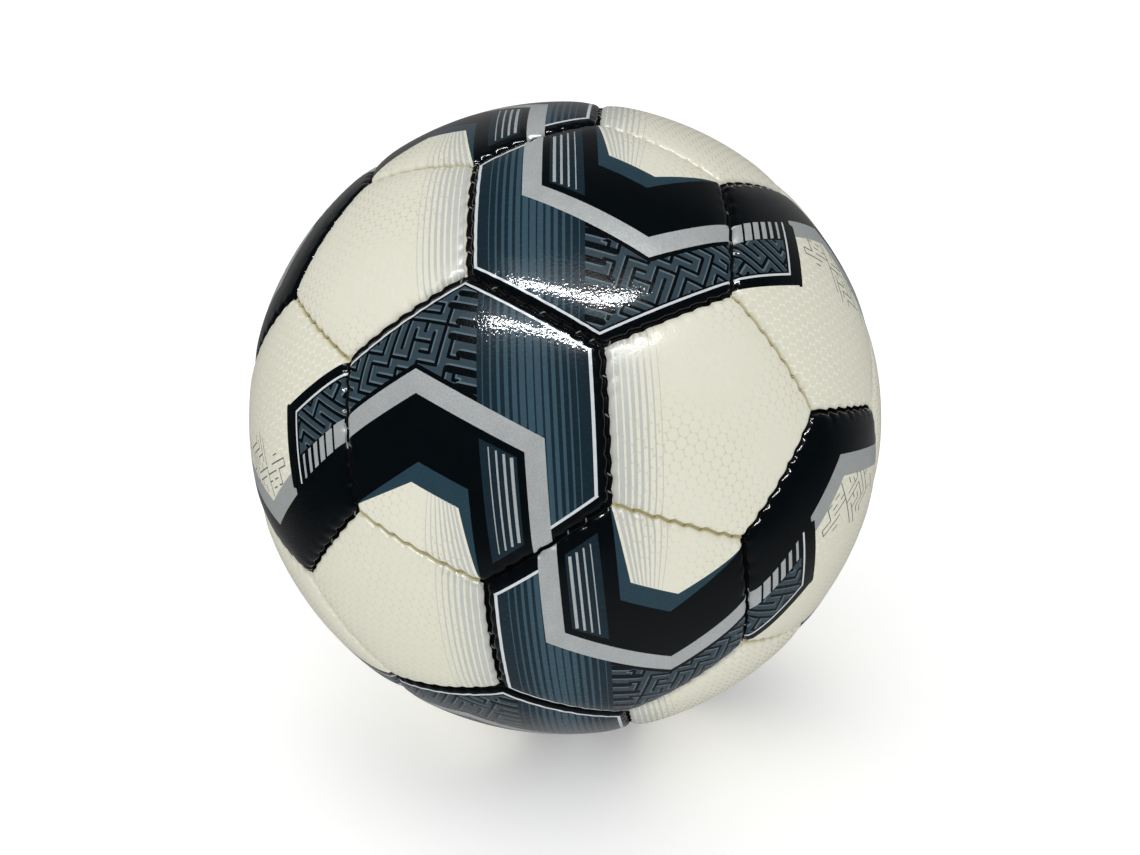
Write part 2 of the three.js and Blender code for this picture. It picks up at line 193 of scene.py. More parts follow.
class Panel:
    """One cover panel: its place, its outline and the shape of its skin."""

    def __init__(self, name, kind, centre, toward, sides, first_edge):
        self.name = name
        self.kind = kind
        self.sides = sides
        self.apothem = HEX_APOTHEM if sides == 6 else PENT_APOTHEM
        z = unit(centre)
        x = unit(toward - (toward @ z) * z)
        self.axes = np.stack([x, np.cross(z, x), z], axis=1)
        self.edge_angles = [first_edge + 2 * math.pi * i / sides for i in range(sides)]
        self.seams = [self.seam_at(angle) for angle in self.edge_angles]
        self.rng = random.Random(name)
        self.waves = [
            (self.random_direction() * self.rng.uniform(2.5, 6.5), self.rng.uniform(0, 6.28))
            for _ in range(5)
        ]

    def random_direction(self):
        return unit(np.array([self.rng.gauss(0, 1) for _ in range(3)]))

    def corner(self, angle):
        """A corner of the seam outline in the plane, at the given angle."""
        out = self.apothem / math.cos(math.pi / self.sides)
        return np.array([math.cos(angle) * out, math.sin(angle) * out])

    def seam_at(self, angle):
        half = math.pi / self.sides
        ends = [self.corner(angle - half), self.corner(angle + half)]
        return seam_between(*[self.axes @ np.array([*end, BALL_RADIUS]) for end in ends])

    def outline(self, inset, step):
        """The closed outline in the plane, moved in from the seams."""
        scale = (self.apothem - inset) / self.apothem
        half = math.pi / self.sides
        corners = [self.corner(angle - half) * scale for angle in self.edge_angles]
        return resample(corners, step, True)

    def skin(self, flat):
        """Points of the finished outer skin, in the row frame and millimetres."""
        rays = on_ball(self, flat)
        moved = rays.copy()
        pulled = np.zeros(len(flat))
        nearness = np.zeros(len(flat))
        for seam in self.seams:
            side = math.copysign(1, seam.normal @ self.axes[:, 2])
            near = BALL_RADIUS * np.arcsin(np.clip(rays @ seam.normal * side, -1, 1))
            t = seam.along(rays)
            fade = np.exp(-((near / SEAM_WAVE_REACH) ** 2))
            moved += np.outer(seam.swing(t) * fade / BALL_RADIUS, seam.normal)
            reach = np.exp(-((near / STITCH_REACH) ** 2))
            pulled += STITCH_PULL * seam.stitched(t) * reach
            nearness += np.exp(-near / CORNER_BLEND)
        moved /= np.linalg.norm(moved, axis=1)[:, None]
        near = np.maximum(-CORNER_BLEND * np.log(nearness) - RIM_INSET, 0)
        roll = 1 - np.clip(near / LIP_WIDTH, 0, 1)
        depth = LIP_DEPTH * (1 - np.sqrt(1 - roll**2 * 0.9999)) + pulled
        depth += PUFF_DEPTH * np.exp(-((near / PUFF_WIDTH) ** 2))
        depth += self.undulation(moved) + self.hole_depth(flat)
        points = moved * (BALL_RADIUS - depth)[:, None]
        points[:, 2] = np.maximum(points[:, 2], REST_HEIGHT)
        return points

    def undulation(self, rays):
        total = np.zeros(len(rays))
        for wave, start in self.waves:
            total += np.sin(rays @ wave * 2 + start)
        return UNDULATION * (0.5 + 0.5 * total / len(self.waves))

    def hole_depth(self, flat):
        return np.zeros(len(flat))

    def skin_normals(self, flat):
        step = 0.03
        here = self.skin(flat)
        right = self.skin(flat + np.array([step, 0])) - here
        up = self.skin(flat + np.array([0, step])) - here
        normals = np.cross(right, up)
        return normals / np.maximum(np.linalg.norm(normals, axis=1), 1e-12)[:, None]

    def ring(self, loop, inset, depth):
        """A loop of the rim moved to another inset and depth, behind the skin."""
        scale = (self.apothem - inset) / (self.apothem - RIM_INSET)
        points = on_ball(self, loop * scale) * (BALL_RADIUS - depth)
        points[:, 2] = np.maximum(points[:, 2], REST_HEIGHT + min(depth, 1.5))
        return points


class ValvePanel(Panel):
    """The pentagon with the valve's hole; the hole's edge is rounded."""

    def hole_depth(self, flat):
        away = np.linalg.norm(flat, axis=1) - HOLE_RADIUS
        roll = 1 - np.clip(away / HOLE_ROUNDING, 0, 1)
        return HOLE_ROUNDING * 0.8 * (1 - np.sqrt(1 - roll**2 * 0.9999))


def layout():
    """Every cover panel, named as the CAD node it stands for."""
    x = np.array([1.0, 0, 0])
    panels = []
    for k in range(10):
        side = -1 if k % 2 == 0 else 1
        centre = direction(side * BELT_LATITUDE, FIRST_LONGITUDE + k * FIFTH / 2)
        panels.append(Panel(f"belt_hexagon_{k + 1}", "belt", centre, -side * x, 6, 0))
    for side, word, turn in ((1, "right", 0), (-1, "left", 0.5)):
        for k in range(5):
            ring = direction(side * RING_LATITUDE, FIRST_LONGITUDE + (k + turn) * FIFTH)
            panels.append(Panel(f"pentagon_{word}_{k + 1}", "ring", ring, -side * x, 5, 0))
            lon = FIRST_LONGITUDE + (k + 0.5 - turn) * FIFTH
            cap = direction(side * CAP_LATITUDE, lon)
            across = np.cross(side * x - (side * x @ cap) * cap, cap)
            name = f"cap_hexagon_{word}_{k + 1}"
            panels.append(Panel(name, "cap", cap, across, 6, math.radians(-90)))
    up = direction(0, FIRST_LONGITUDE + FIFTH / 2)
    panels.append(ValvePanel("pentagon_valve", "valve", x, up, 5, 0))
    down = direction(0, FIRST_LONGITUDE)
    panels.append(Panel("pentagon_far", "plain", -x, down, 5, 0))
    return panels


# ---- Outlines in a panel's plane ----


def resample(points, step, closed):
    """Points along a line at most `step` apart, with every corner kept."""
    points = [np.array(p, float) for p in points]
    ends = points[1:] + ([points[0]] if closed else [])
    out = []
    for a, b in zip(points, ends):
        pieces = max(1, math.ceil(np.linalg.norm(b - a) / step))
        out.extend(a + (b - a) * i / pieces for i in range(pieces))
    if not closed:
        out.append(points[-1])
    return np.array(out)


def mitred(points, distance):
    """An open line moved sideways by `distance`, with mitred corners."""
    points = np.array(points, float)
    ways = np.diff(points, axis=0)
    ways /= np.linalg.norm(ways, axis=1)[:, None]
    sides = np.column_stack([-ways[:, 1], ways[:, 0]])
    moved = [points[0] + sides[0] * distance]
    for i in range(1, len(points) - 1):
        between = sides[i - 1] + sides[i]
        moved.append(points[i] + between * distance / (0.5 * between @ between))
    moved.append(points[-1] + sides[-1] * distance)
    return np.array(moved)


def ribbon(points, width, end_width=None):
    """A closed outline round an open line. A straight one may change width along its length."""
    if end_width is None or end_width == width:
        return np.concatenate([mitred(points, width / 2), mitred(points, -width / 2)[::-1]])
    a, b = np.array(points[0], float), np.array(points[-1], float)
    side = np.array([a[1] - b[1], b[0] - a[0]]) / np.linalg.norm(b - a) / 2
    return np.array([a + side * width, b + side * end_width, b - side * end_width, a - side * width])


def rounded_ribbon(a, b, width):
    """A straight groove with round ends."""
    a, b = np.array(a, float), np.array(b, float)
    way = (b - a) / np.linalg.norm(b - a)
    turn = math.atan2(way[1], way[0])
    out = []
    for middle, start in ((b, turn - math.pi / 2), (a, turn + math.pi / 2)):
        for i in range(5):
            angle = start + math.pi * i / 4
            out.append(middle + np.array([math.cos(angle), math.sin(angle)]) * width / 2)
    return np.array(out)


def inside(points, polygon):
    """True for each point inside the closed outline."""
    found = np.zeros(len(points), bool)
    box = np.all((points >= polygon.min(0)) & (points <= polygon.max(0)), axis=1)
    near = points[box]
    if not len(near):
        return found
    odd = np.zeros(len(near), bool)
    for a, b in zip(polygon, np.roll(polygon, -1, axis=0)):
        if a[1] == b[1]:
            continue
        crosses = (a[1] > near[:, 1]) != (b[1] > near[:, 1])
        at = a[0] + (near[:, 1] - a[1]) * (b[0] - a[0]) / (b[1] - a[1])
        odd ^= crosses & (near[:, 0] < at)
    found[box] = odd
    return found


# ---- The maze pattern ----


MAZE_STRAIGHT = 0.35  # how often a passage keeps its way


def maze_walls(columns, rows, seed):
    """The straight walls of a maze on a grid of cells, as pairs of grid points."""
    rng = random.Random(seed)
    seen, stack, doors, last = {(0, 0)}, [(0, 0)], set(), {}
    while stack:
        cx, cy = stack[-1]
        beside = [(cx + 1, cy), (cx - 1, cy), (cx, cy + 1), (cx, cy - 1)]
        free = [c for c in beside if 0 <= c[0] < columns and 0 <= c[1] < rows and c not in seen]
        if not free:
            stack.pop()
            continue
        before = last.get((cx, cy), (cx, cy))
        ahead = (2 * cx - before[0], 2 * cy - before[1])
        step = ahead if ahead in free and rng.random() < MAZE_STRAIGHT else rng.choice(free)
        last[step] = (cx, cy)
        doors.add(frozenset(((cx, cy), step)))
        seen.add(step)
        stack.append(step)
    walls = []
    for c in range(1, columns):
        closed = [frozenset(((c - 1, r), (c, r))) not in doors for r in range(rows)]
        walls.extend(((c, a), (c, b)) for a, b in spans(closed))
    for r in range(1, rows):
        closed = [frozenset(((c, r - 1), (c, r))) not in doors for c in range(columns)]
        walls.extend(((a, r), (b, r)) for a, b in spans(closed))
    return walls


def spans(flags):
    """The runs of True in a list, as (start, end) pairs."""
    out, start = [], None
    for i, flag in enumerate([*flags, False]):
        if flag and start is None:
            start = i
        if not flag and start is not None:
            out.append((start, i))
            start = None
    return out


def maze_lines(origin, turn, pitch, columns, rows, seed):
    """The walls of a maze placed in the plane: its lowest grid point, its slope and its pitch."""
    u = np.array([math.cos(turn), math.sin(turn)]) * pitch
    v = np.array([-u[1], u[0]])

    def place(point):
        return np.array(origin) + u * point[0] + v * point[1]

    return [(place(a), place(b)) for a, b in maze_walls(columns, rows, seed)]


# ---- The print ----

# A panel's inks, and its surfaces that are not printed.
BLACK, CREAM, DARK, SLATE, DEEP, MID, LIGHT, SILVER = range(8)
WHITE, GREY, BAND, LINES = range(8, 12)
CLOTH, TURNED, BLACK_SEAM_AND_SHADE, CAP_SKIN_PAINTED_SHEEN, FAINT_SKIN_PAINTED_LIGHT = range(12, 17)

GROOVE_OVERRUN = 1.0
BELT_GROOVE = 0.95
BELT_MAZE_PITCH = 2.85
EDGE_LIGHT_SHIFT = np.array([0.52, 0.4])
STRIPE_WIDTHS = (0.25, 0.5, 0.8, 1.1, 1.3, 1.55, 1.7, 1.6, 1.35, 1.1, 0.85, 0.6, 0.35)
STRIPE_FIRST = 6.3
STRIPE_PITCH = 2.07


def belt_print():
    """Regions of a belt hexagon's print over its black ground, later ones on top."""
    out = []
    zone = [(-46, 13.05), (0.6, 39.95), (4.8, 37.4), (4.8, 8.5), (-12.1, 18.3), (-46, 1.95)]
    out.append((zone, MID))
    walls = maze_lines((-44.5, 6.5), math.radians(-14.5), BELT_MAZE_PITCH, 19, 14, 5)
    beside_bars = [(-46, 13.05), (-1, 39.03), (-1, 11.86), (-12.1, 18.3), (-46, 1.95)]
    out.extend(maze_grooves(walls, beside_bars, BELT_GROOVE))
    out.extend(maze_grooves(divide_bars(), zone, BAR_WIDTH))
    # Black outside the zone again: the grooves run past its edges.
    out.append(([(-46, 22), (-46, 13.05), (0.6, 39.95), (4.8, 37.4), (4.8, 48), (-46, 48)], BLACK))
    out.append(([(-46, 1.95), (-12.1, 18.3), (4.8, 8.5), (4.8, -4), (-46, -4)], BLACK))
    stripes = [(4.8, 38.0), (35.0, 19.9), (34.8, -19.4), (21.9, -27), (21.8, -2.8), (4.8, 7.0)]
    out.append(([(4.8, 48), (46, 48), (46, -46), (4.8, -46)], BLACK))
    out.append((stripes, DARK))
    for i, width in enumerate(STRIPE_WIDTHS):
        x = STRIPE_FIRST + i * STRIPE_PITCH
        top = 38.0 - (x - 4.8) * 0.599
        low = 7.0 - (x - 4.8) * 0.5765 if x < 21.8 else -27 + (x - 21.9) * 0.589
        out.append((ribbon([(x, low), (x, top)], width), SLATE))
    out.append((ribbon([(-46, 14.05), (0.6, 41), (35.3, 20.2)], 0.72), WHITE))
    out.append((ribbon([(35.3, 20.5), (35.1, -19.7)], 1.0), WHITE))
    out.append((ribbon([(35.6, -19.3), (21.6, -27.3)], 0.85), WHITE))
    chevron = [(-46, 0.5), (-12.1, 16.8), (21.8, -2.8), (22.2, -46)]
    inner = [(16.6, -46), (16.4, -6.1), (-12, 10.3), (-46, -5.7)]
    out.append((chevron + inner, SILVER))
    out.append(([(4.8, -2), (14.3, -7.3), (14.4, -31.4), (5.0, -36.8)], DARK))
    for i in range(4):
        x = 7.1 + 1.95 * i
        top, low = -4.3 - 1.0 * i, -33.9 + 1.05 * i
        out.append((ribbon([(x, top), (x + 0.15, low)], 0.3 + 0.19 * i), SILVER))
    slate = [(-39, -21.5), (-12.2, -7.5), (0.9, -15), (0.4, -48), (-0.4, -48), (0, -42.5)]
    out.append((slate + [(-2.3, -20), (-14.9, -12.8), (-37, -20.6)], DEEP))
    cream = [(-14.9, -12.8), (-2.3, -20), (0, -42.5), (-0.5, -50), (-46, -50), (-46, -23.6)]
    out.append((cream, CREAM))
    out.extend((line, GREY) for line in belt_pinstripes())
    return out


def belt_pinstripes():
    """Thin lines on the cream corner, wider to the right, cut off along the slate chevron."""
    out = []
    for i in range(8):
        top = np.array([-10.4 + 1.0 * i, -15.3 - 0.571 * i])
        low = np.array([-15.6 + 2.05 * i, -38.5 - 1.1 * i])
        out.append(ribbon([top, low], 0.16 + 0.06 * i, 0.28 + 0.15 * i))
    return out


DIVIDE = 4.8  # where the stripes begin
BAR_WIDTH = 2.0
BAR_SLOPE = math.radians(-14.5)
BARS = ((36.4, 5.0), (32.1, 7.8), (27.6, 5.2), (23.1, 7.2), (18.6, 4.8), (14.1, 8.2), (9.9, 5.5))


def divide_bars():
    """Short thick lines between the maze and the stripes, each given by its height and its reach."""
    way = np.array([math.cos(BAR_SLOPE), math.sin(BAR_SLOPE)])
    ends = [(np.array([DIVIDE, height]), reach) for height, reach in BARS]
    return [(end - way * reach, end) for end, reach in ends]


def clipped(line, zone):
    """The part of a straight line in the outline, run on a little where it is cut, or nothing."""
    places = resample(line, 0.25, False)
    found = np.flatnonzero(inside(places, np.array(zone, float)))
    if not len(found):
        return []
    first, last = found[0], found[-1]
    way = unit(places[-1] - places[0]) * GROOVE_OVERRUN
    start = places[first] - way * (first > 0)
    end = places[last] + way * (last < len(places) - 1)
    return [(start, end)]


def maze_grooves(walls, zone, width):
    """Black grooves with a light line along one side, kept to the zone."""
    lines = [part for wall in walls for part in clipped(wall, zone)]
    lit = [rounded_ribbon(a + EDGE_LIGHT_SHIFT, b + EDGE_LIGHT_SHIFT, width) for a, b in lines]
    cut = [rounded_ribbon(a, b, width) for a, b in lines]
    return [(outline, LIGHT) for outline in lit] + [(outline, BLACK) for outline in cut]


RING_PINSTRIPES = (0.22, 0.4, 0.62, 0.85, 1.05, 1.25, 1.42, 1.55)
RING_PINSTRIPE_FIRST = 15.1
RING_PINSTRIPE_PITCH = 1.86


def ring_print():
    """Regions of a ring pentagon's print over its cream ground."""
    out = []
    for i, width in enumerate(RING_PINSTRIPES):
        x = RING_PINSTRIPE_FIRST + i * RING_PINSTRIPE_PITCH
        out.append((ribbon([(x, -40), (x, 40)], width), GREY))
    return out


CAP_GROOVE = 1.0
CAP_BARS = (  # place and thickness
    (-19.9, 1.0),
    (-22.9, 1.3),
    (-25.8, 1.8),
    (-28.9, 2.1),
    (-32.1, 2.6),
    (-36.0, 3.7),
)
CAP_BAR_LENGTH = 6.7


def cap_print():
    """Regions of a cap hexagon's print over its cream ground."""
    out = []
    band = [(-15.9, -13.4), (-26, 4.5), (-10, 34.5), (-6, 42), (1, 42), (-3.4, 32.6), (-18.5, 4.4)]
    out.append((band + [(-9.0, -13.4)], BAND))
    spread = [(-19, 6), (-13, -8), (-5, -10), (0, 0), (6, 13), (4, 24), (-6, 26)]
    thin = maze_lines((-20, -14), math.radians(13), 2.2, 14, 19, 21)
    kept = [w for w in thin if inside(resample(w, 1, False), np.array(spread, float)).all()]
    out.extend((rounded_ribbon(a, b, 0.42), LINES) for a, b in kept)
    frame_edge = [(-15.9, -13.4), (9.3, -13.4), (21.3, -37), (25, -44.5), (25, -60), (-60, -60)]
    out.append((frame_edge + [(-60, 60), (-6, 60), (-6, 42), (-10, 34.5), (-26, 4.5)], BLACK))
    zone = [(-4.6, -18.3), (7.0, -18.3), (17.4, -38.4), (19.6, -42.6), (7.2, -42.6)]
    out.append((zone, MID))
    walls = maze_lines((-13, -38), math.radians(-26), 2.75, 14, 12, 8)
    out.extend(maze_grooves(walls, zone, CAP_GROOVE))
    # Black outside the zone again.
    out.append((zone[:4] + [(30, -44), (9, -12), (-14, -12)], BLACK))
    out.append(([zone[0], zone[-1], (-18, -46), (-14, -12)], BLACK))
    out.append((ribbon([(-12.8, -17.0), (7.3, -17.1), (17.9, -37.4), (21, -43.4)], 0.68), WHITE))
    for y, height in CAP_BARS:
        left, lean = -11.4 - (y + 19.9) * 0.497, 0.5 * height
        right = left + CAP_BAR_LENGTH
        top, low = y + height / 2, y - height / 2
        corners = [(left, top), (right, top), (right + lean, low), (left + lean, low)]
        out.append((corners, SILVER))
    edge = [(-3.4, -37.9), (3.8, -37.9), (6, -42), (-1.4, -42)]
    out.append((edge, SILVER))
    cream = [(9.3, -13.4), (21.3, -37), (25, -44.5), (46, -46), (46, 20)]
    out.append((cream, CREAM))
    return out


PRINTS = {
    "belt": (BLACK, belt_print),
    "cap": (CREAM, cap_print),
    "ring": (CREAM, ring_print),
    "plain": (CREAM, list),
    "valve": (CREAM, list),
}
PRINT_SHIFTS = {"belt_hexagon_1": (-1.1, 0.3), "belt_hexagon_2": (0.5, -0.2)}
PRINT_DRIFT = 0.55  # how far a print may lie off its panel's middle


def placed_print(panel):
    """The ground ink of a panel and its print's regions, at this panel's own slight offset."""
    ground, draw = PRINTS[panel.kind]
    rng = random.Random(panel.name + "print")
    drift = (rng.uniform(-PRINT_DRIFT, PRINT_DRIFT), rng.uniform(-PRINT_DRIFT, PRINT_DRIFT))
    shift = np.array(PRINT_SHIFTS.get(panel.name, drift))
    return ground, [(np.array(outline, float) + shift, ink) for outline, ink in draw()]


# ---- Panel meshes ----


def hexagonal_grid(reach, step):
    """Points of a triangular lattice, out to about that reach."""
    rise = step * 0.866
    rows = int(reach / rise) + 1
    columns = int(reach / step) + 1
    return np.array(
        [
            ((c + 0.5 * (r % 2)) * step, r * rise)
            for r in range(-rows, rows + 1)
            for c in range(-columns, columns + 1)
        ]
    )


def triangulate(panel):
    """The skin's flat triangulation with the print's outlines as edges, and each triangle's ink."""
    ground, regions = placed_print(panel)
    rim = panel.outline(RIM_INSET, RIM_STEP)
    points, edges = [rim], closed_edges(0, len(rim))
    total = len(rim)
    for row in (RIM_BAND, *SHOULDER_ROWS):
        points.append(panel.outline(row, RIM_STEP if row < 4 else 1.6))
        if row == RIM_BAND:
            edges += closed_edges(total, len(points[-1]))
        total += len(points[-1])
    loops = [outline for outline, _ in regions]
    if panel.kind == "valve":
        loops = hole_loops() + loops
    for outline in loops:
        loop = resample(outline, PRINT_STEP, True)
        points.append(loop)
        edges += closed_edges(total, len(loop))
        total += len(loop)
    grid = hexagonal_grid(HEX_APOTHEM * 1.2, GRID_STEP)
    points.append(grid[inside(grid, panel.outline(SHOULDER_ROWS[-1] + 0.8, 90))])
    vectors = [Vector(p) for p in np.concatenate(points)]
    result = delaunay_2d_cdt(vectors, edges, [], 0, 0.004, False)
    flat = np.array([tuple(v) for v in result[0]])
    triangles = np.array([f for f in result[2]])
    middles = flat[triangles].mean(axis=1)
    keep = inside(middles, rim)
    if panel.kind == "valve":
        keep &= np.linalg.norm(middles, axis=1) > HOLE_RADIUS * math.cos(math.pi / HOLE_CORNERS)
    triangles, middles = triangles[keep], middles[keep]
    inks = np.full(len(triangles), ground)
    for outline, ink in regions:
        inks[inside(middles, outline)] = ink
    return compact(flat, triangles, inks)


def hole_loops():
    """Circles over the rounding of the valve hole's edge."""
    turns = np.arange(HOLE_CORNERS) * 2 * math.pi / HOLE_CORNERS
    circle = np.column_stack([np.cos(turns), np.sin(turns)])
    return [circle * (HOLE_RADIUS + HOLE_ROUNDING * out) for out in (0, 0.12, 0.35, 0.7, 1.1)]


def closed_edges(start, count):
    return [(start + i, start + (i + 1) % count) for i in range(count)]


def compact(flat, triangles, inks):
    """Drops unused points, and turns every triangle counter-clockwise."""
    used, index = np.unique(triangles, return_inverse=True)
    triangles = index.reshape(triangles.shape)
    flat = flat[used]
    a, b, c = (flat[triangles[:, i]] for i in range(3))
    area = (b[:, 0] - a[:, 0]) * (c[:, 1] - a[:, 1]) - (b[:, 1] - a[:, 1]) * (c[:, 0] - a[:, 0])
    triangles[area < 0] = triangles[area < 0][:, ::-1]
    return flat, triangles, inks


def boundary_loops(triangles, inks):
    """The open edges of a triangulation as ordered loops, with the ink beside each edge."""
    following, beside = {}, {}
    seen = set()
    for triangle in triangles:
        for i in range(3):
            seen.add((triangle[i], triangle[(i + 1) % 3]))
    for triangle, ink in zip(triangles, inks):
        for i in range(3):
            a, b = triangle[i], triangle[(i + 1) % 3]
            if (b, a) not in seen:
                following[a] = b
                beside[a] = ink
    loops = []
    while following:
        start = next(iter(following))
        loop = []
        at = start
        while at in following:
            loop.append(at)
            at = following.pop(at)
        loops.append((loop, [beside[i] for i in loop]))
    return sorted(loops, key=lambda item: -len(item[0]))


class MeshParts:
    """Vertices, faces and per-face values of a piece, in millimetres."""

    def __init__(self):
        self.points = []
        self.plane = []
        self.faces = []
        self.inks = []
        self.count = 0

    def add_points(self, points, plane):
        first = self.count
        self.points.append(np.asarray(points))
        self.plane.append(np.asarray(plane))
        self.count += len(points)
        return list(range(first, self.count))

    def add_faces(self, faces, inks):
        self.faces.extend([tuple(int(i) for i in f) for f in faces])
        self.inks.extend(int(i) for i in inks)

    def join_rings(self, upper, lower, inks):
        """Quads from one loop to the next, wound so that they face out behind the skin."""
        n = len(upper)
        faces = [(upper[(i + 1) % n], upper[i], lower[i], lower[(i + 1) % n]) for i in range(n)]
        self.add_faces(faces, inks)

    def bridge(self, outer, inner, ink):
        """Triangles between two loops of different counts, both counter-clockwise from one angle."""
        m, n = len(outer), len(inner)
        i = j = 0
        while i < m or j < n:
            if j == n or (i < m and (i + 1) / m <= (j + 1) / n + 1e-9):
                face = (outer[(i + 1) % m], outer[i % m], inner[j % n])
                i += 1
            else:
                face = (inner[j % n], inner[(j + 1) % n], outer[i % m])
                j += 1
            self.add_faces([face], [ink])


def from_angle_zero(loop, plane):
    """The loop turned so that it starts nearest to the +X direction of the plane."""
    angles = [abs(math.atan2(plane[i][1], plane[i][0])) for i in range(len(loop))]
    start = int(np.argmin(angles))
    return loop[start:] + loop[:start]


def on_ball(panel, flat):
    """Unit vectors from the ball's centre through points of the panel's plane."""
    rays = np.column_stack([flat, np.full(len(flat), BALL_RADIUS)]) @ panel.axes.T
    return rays / np.linalg.norm(rays, axis=1)[:, None]


def seam_inks(panel, flat):
    """What shows deep in the seam beside each point: the pale turned edge, or black, which is painted shade
    where this panel's own edge is pale.
    """
    rays = on_ball(panel, flat)
    away = np.array([np.abs(rays @ seam.normal) for seam in panel.seams])
    nearest = np.argmin(away, axis=0)
    inks = np.full(len(flat), BLACK_SEAM_AND_SHADE)
    for i, seam in enumerate(panel.seams):
        here = np.flatnonzero(nearest == i)
        inks[here[seam.pale_on_both_sides(seam.along(rays[here]))]] = TURNED
    return inks


def ink_rim_band(panel, cut):
    """Gives the steep last part of the skin the look of the seam, pale or black; the black is painted shade
    where the panel's own edge is pale.
    """
    flat, triangles, inks = cut
    middles = flat[triangles].mean(axis=1)
    band = np.flatnonzero(~inside(middles, panel.outline(RIM_BAND, RIM_STEP)))
    inks[band] = seam_inks(panel, middles[band])


def panel_mesh(panel, cut):
    """The closed mesh of a panel: printed skin, turned-in edge and cloth back."""
    flat, triangles, inks = cut
    parts = MeshParts()
    parts.add_points(panel.skin(flat), flat)
    parts.add_faces(triangles, inks)
    loops = boundary_loops(triangles, inks)
    rim = loops[0][0]
    plane = flat[rim]
    rim_inks = seam_inks(panel, plane)
    last, spread = rim, 0.0
    for i, (inset, depth) in enumerate(FLANGE):
        spread += FLANGE_SPREAD
        wide = plane * (1 + spread / panel.apothem)
        ring = parts.add_points(panel.ring(plane, inset, depth), wide)
        parts.join_rings(last, ring, rim_inks if i < DARK_RINGS else [CLOTH] * len(rim))
        last = ring
    back_inset = FLANGE[-1][0]
    reach = panel.apothem - back_inset
    for share in BACK_RINGS:
        inset = panel.apothem - reach * share
        ring = parts.add_points(panel.ring(plane, inset, BACK_DEPTH), plane * share)
        parts.join_rings(last, ring, [CLOTH] * len(rim))
        last = ring
    if panel.kind == "valve":
        close_round_hole(parts, panel, flat, loops[1], last, plane)
    else:
        middle = parts.add_points(panel.ring(np.zeros((1, 2)), 0, BACK_DEPTH), [(0, 0)])[0]
        faces = [(last[(i + 1) % len(last)], last[i], middle) for i in range(len(last))]
        parts.add_faces(faces, [CLOTH] * len(last))
    return parts, len(flat)


def close_round_hole(parts, panel, flat, hole, last, plane):
    """The wall of the valve hole, from the skin to the cloth back."""
    loop, inks = hole
    edge = flat[loop]
    wall = parts.add_points(panel.skin(edge) - panel.axes[:, 2] * 1.2, edge * 0.9)
    n = len(loop)
    parts.add_faces(
        [(loop[(i + 1) % n], loop[i], wall[i], wall[(i + 1) % n]) for i in range(n)], inks
    )
    foot_points = panel.ring(edge, RIM_INSET, BACK_DEPTH)
    foot = parts.add_points(foot_points, edge * 0.8)
    parts.add_faces(
        [(wall[(i + 1) % n], wall[i], foot[i], foot[(i + 1) % n]) for i in range(n)],
        [CLOTH] * n,
    )
    outer = from_angle_zero(last, plane)
    inner = from_angle_zero(foot[::-1], edge[::-1])
    parts.bridge(outer, inner, CLOTH)


def note_rim(panel, cut):
    """Tells each seam where this panel's edge is pale."""
    flat, triangles, inks = cut
    rim, rim_inks = boundary_loops(triangles, inks)[0]
    rays = on_ball(panel, flat[rim])
    pale = np.isin(rim_inks, (CREAM, GREY, BAND))
    for seam in panel.seams:
        near = np.abs(rays @ seam.normal) * BALL_RADIUS < RIM_INSET + 0.2
        seam.sides.append((seam.along(rays[near]), pale[near]))


# ---- Blender objects ----

FAINT_PANEL = "pentagon_left_5"  # its dots hardly show under the light on it, which its cream paints in
BAKE_MARGIN = 4.5
BACK_PLACE = 0.055  # where the cloth lies in the baked map, and its scale there
BACK_SCALE = 0.00045


def put_in_scene(name, data):
    made = bpy.data.objects.new(name, data)
    bpy.context.scene.collection.objects.link(made)
    return made


def make_object(name, points, faces, materials, indices=None):
    mesh = bpy.data.meshes.new(name)
    mesh.from_pydata([tuple(p) for p in np.asarray(points) * MM], [], faces)
    for material in materials:
        mesh.materials.append(material)
    if indices is not None:
        mesh.polygons.foreach_set("material_index", indices)
    mesh.polygons.foreach_set("use_smooth", [True] * len(mesh.polygons))
    mesh.update()
    return put_in_scene(name, mesh)


def add_plane_maps(mesh, plane, inks, reach):
    """A map in decimetres for the patterns, and the map that a bake fills."""
    corners = np.zeros(len(mesh.loops), int)
    mesh.loops.foreach_get("vertex_index", corners)
    counts = np.zeros(len(mesh.polygons), int)
    mesh.polygons.foreach_get("loop_total", counts)
    is_back = np.repeat(np.asarray(inks) == CLOTH, counts)
    pattern = mesh.uv_layers.new(name="Panel")
    pattern.data.foreach_set("uv", (plane[corners] / 100).astype(np.float32).ravel())
    bake = mesh.uv_layers.new(name="OFBake")
    where = 0.5 + plane[corners] / (2 * (reach + BAKE_MARGIN))
    where[is_back] = BACK_PLACE + plane[corners][is_back] * BACK_SCALE
    bake.data.foreach_set("uv", where.astype(np.float32).ravel())


def bare_skin(panel):
    """Which cream a panel's bare skin is drawn with: the caps get a copy with lighter gaps between the dots
    as painted sheen, and the faint pentagon a copy with painted light that evens out its dots.
    """
    if panel.kind == "cap":
        return CAP_SKIN_PAINTED_SHEEN
    return FAINT_SKIN_PAINTED_LIGHT if panel.name == FAINT_PANEL else CREAM


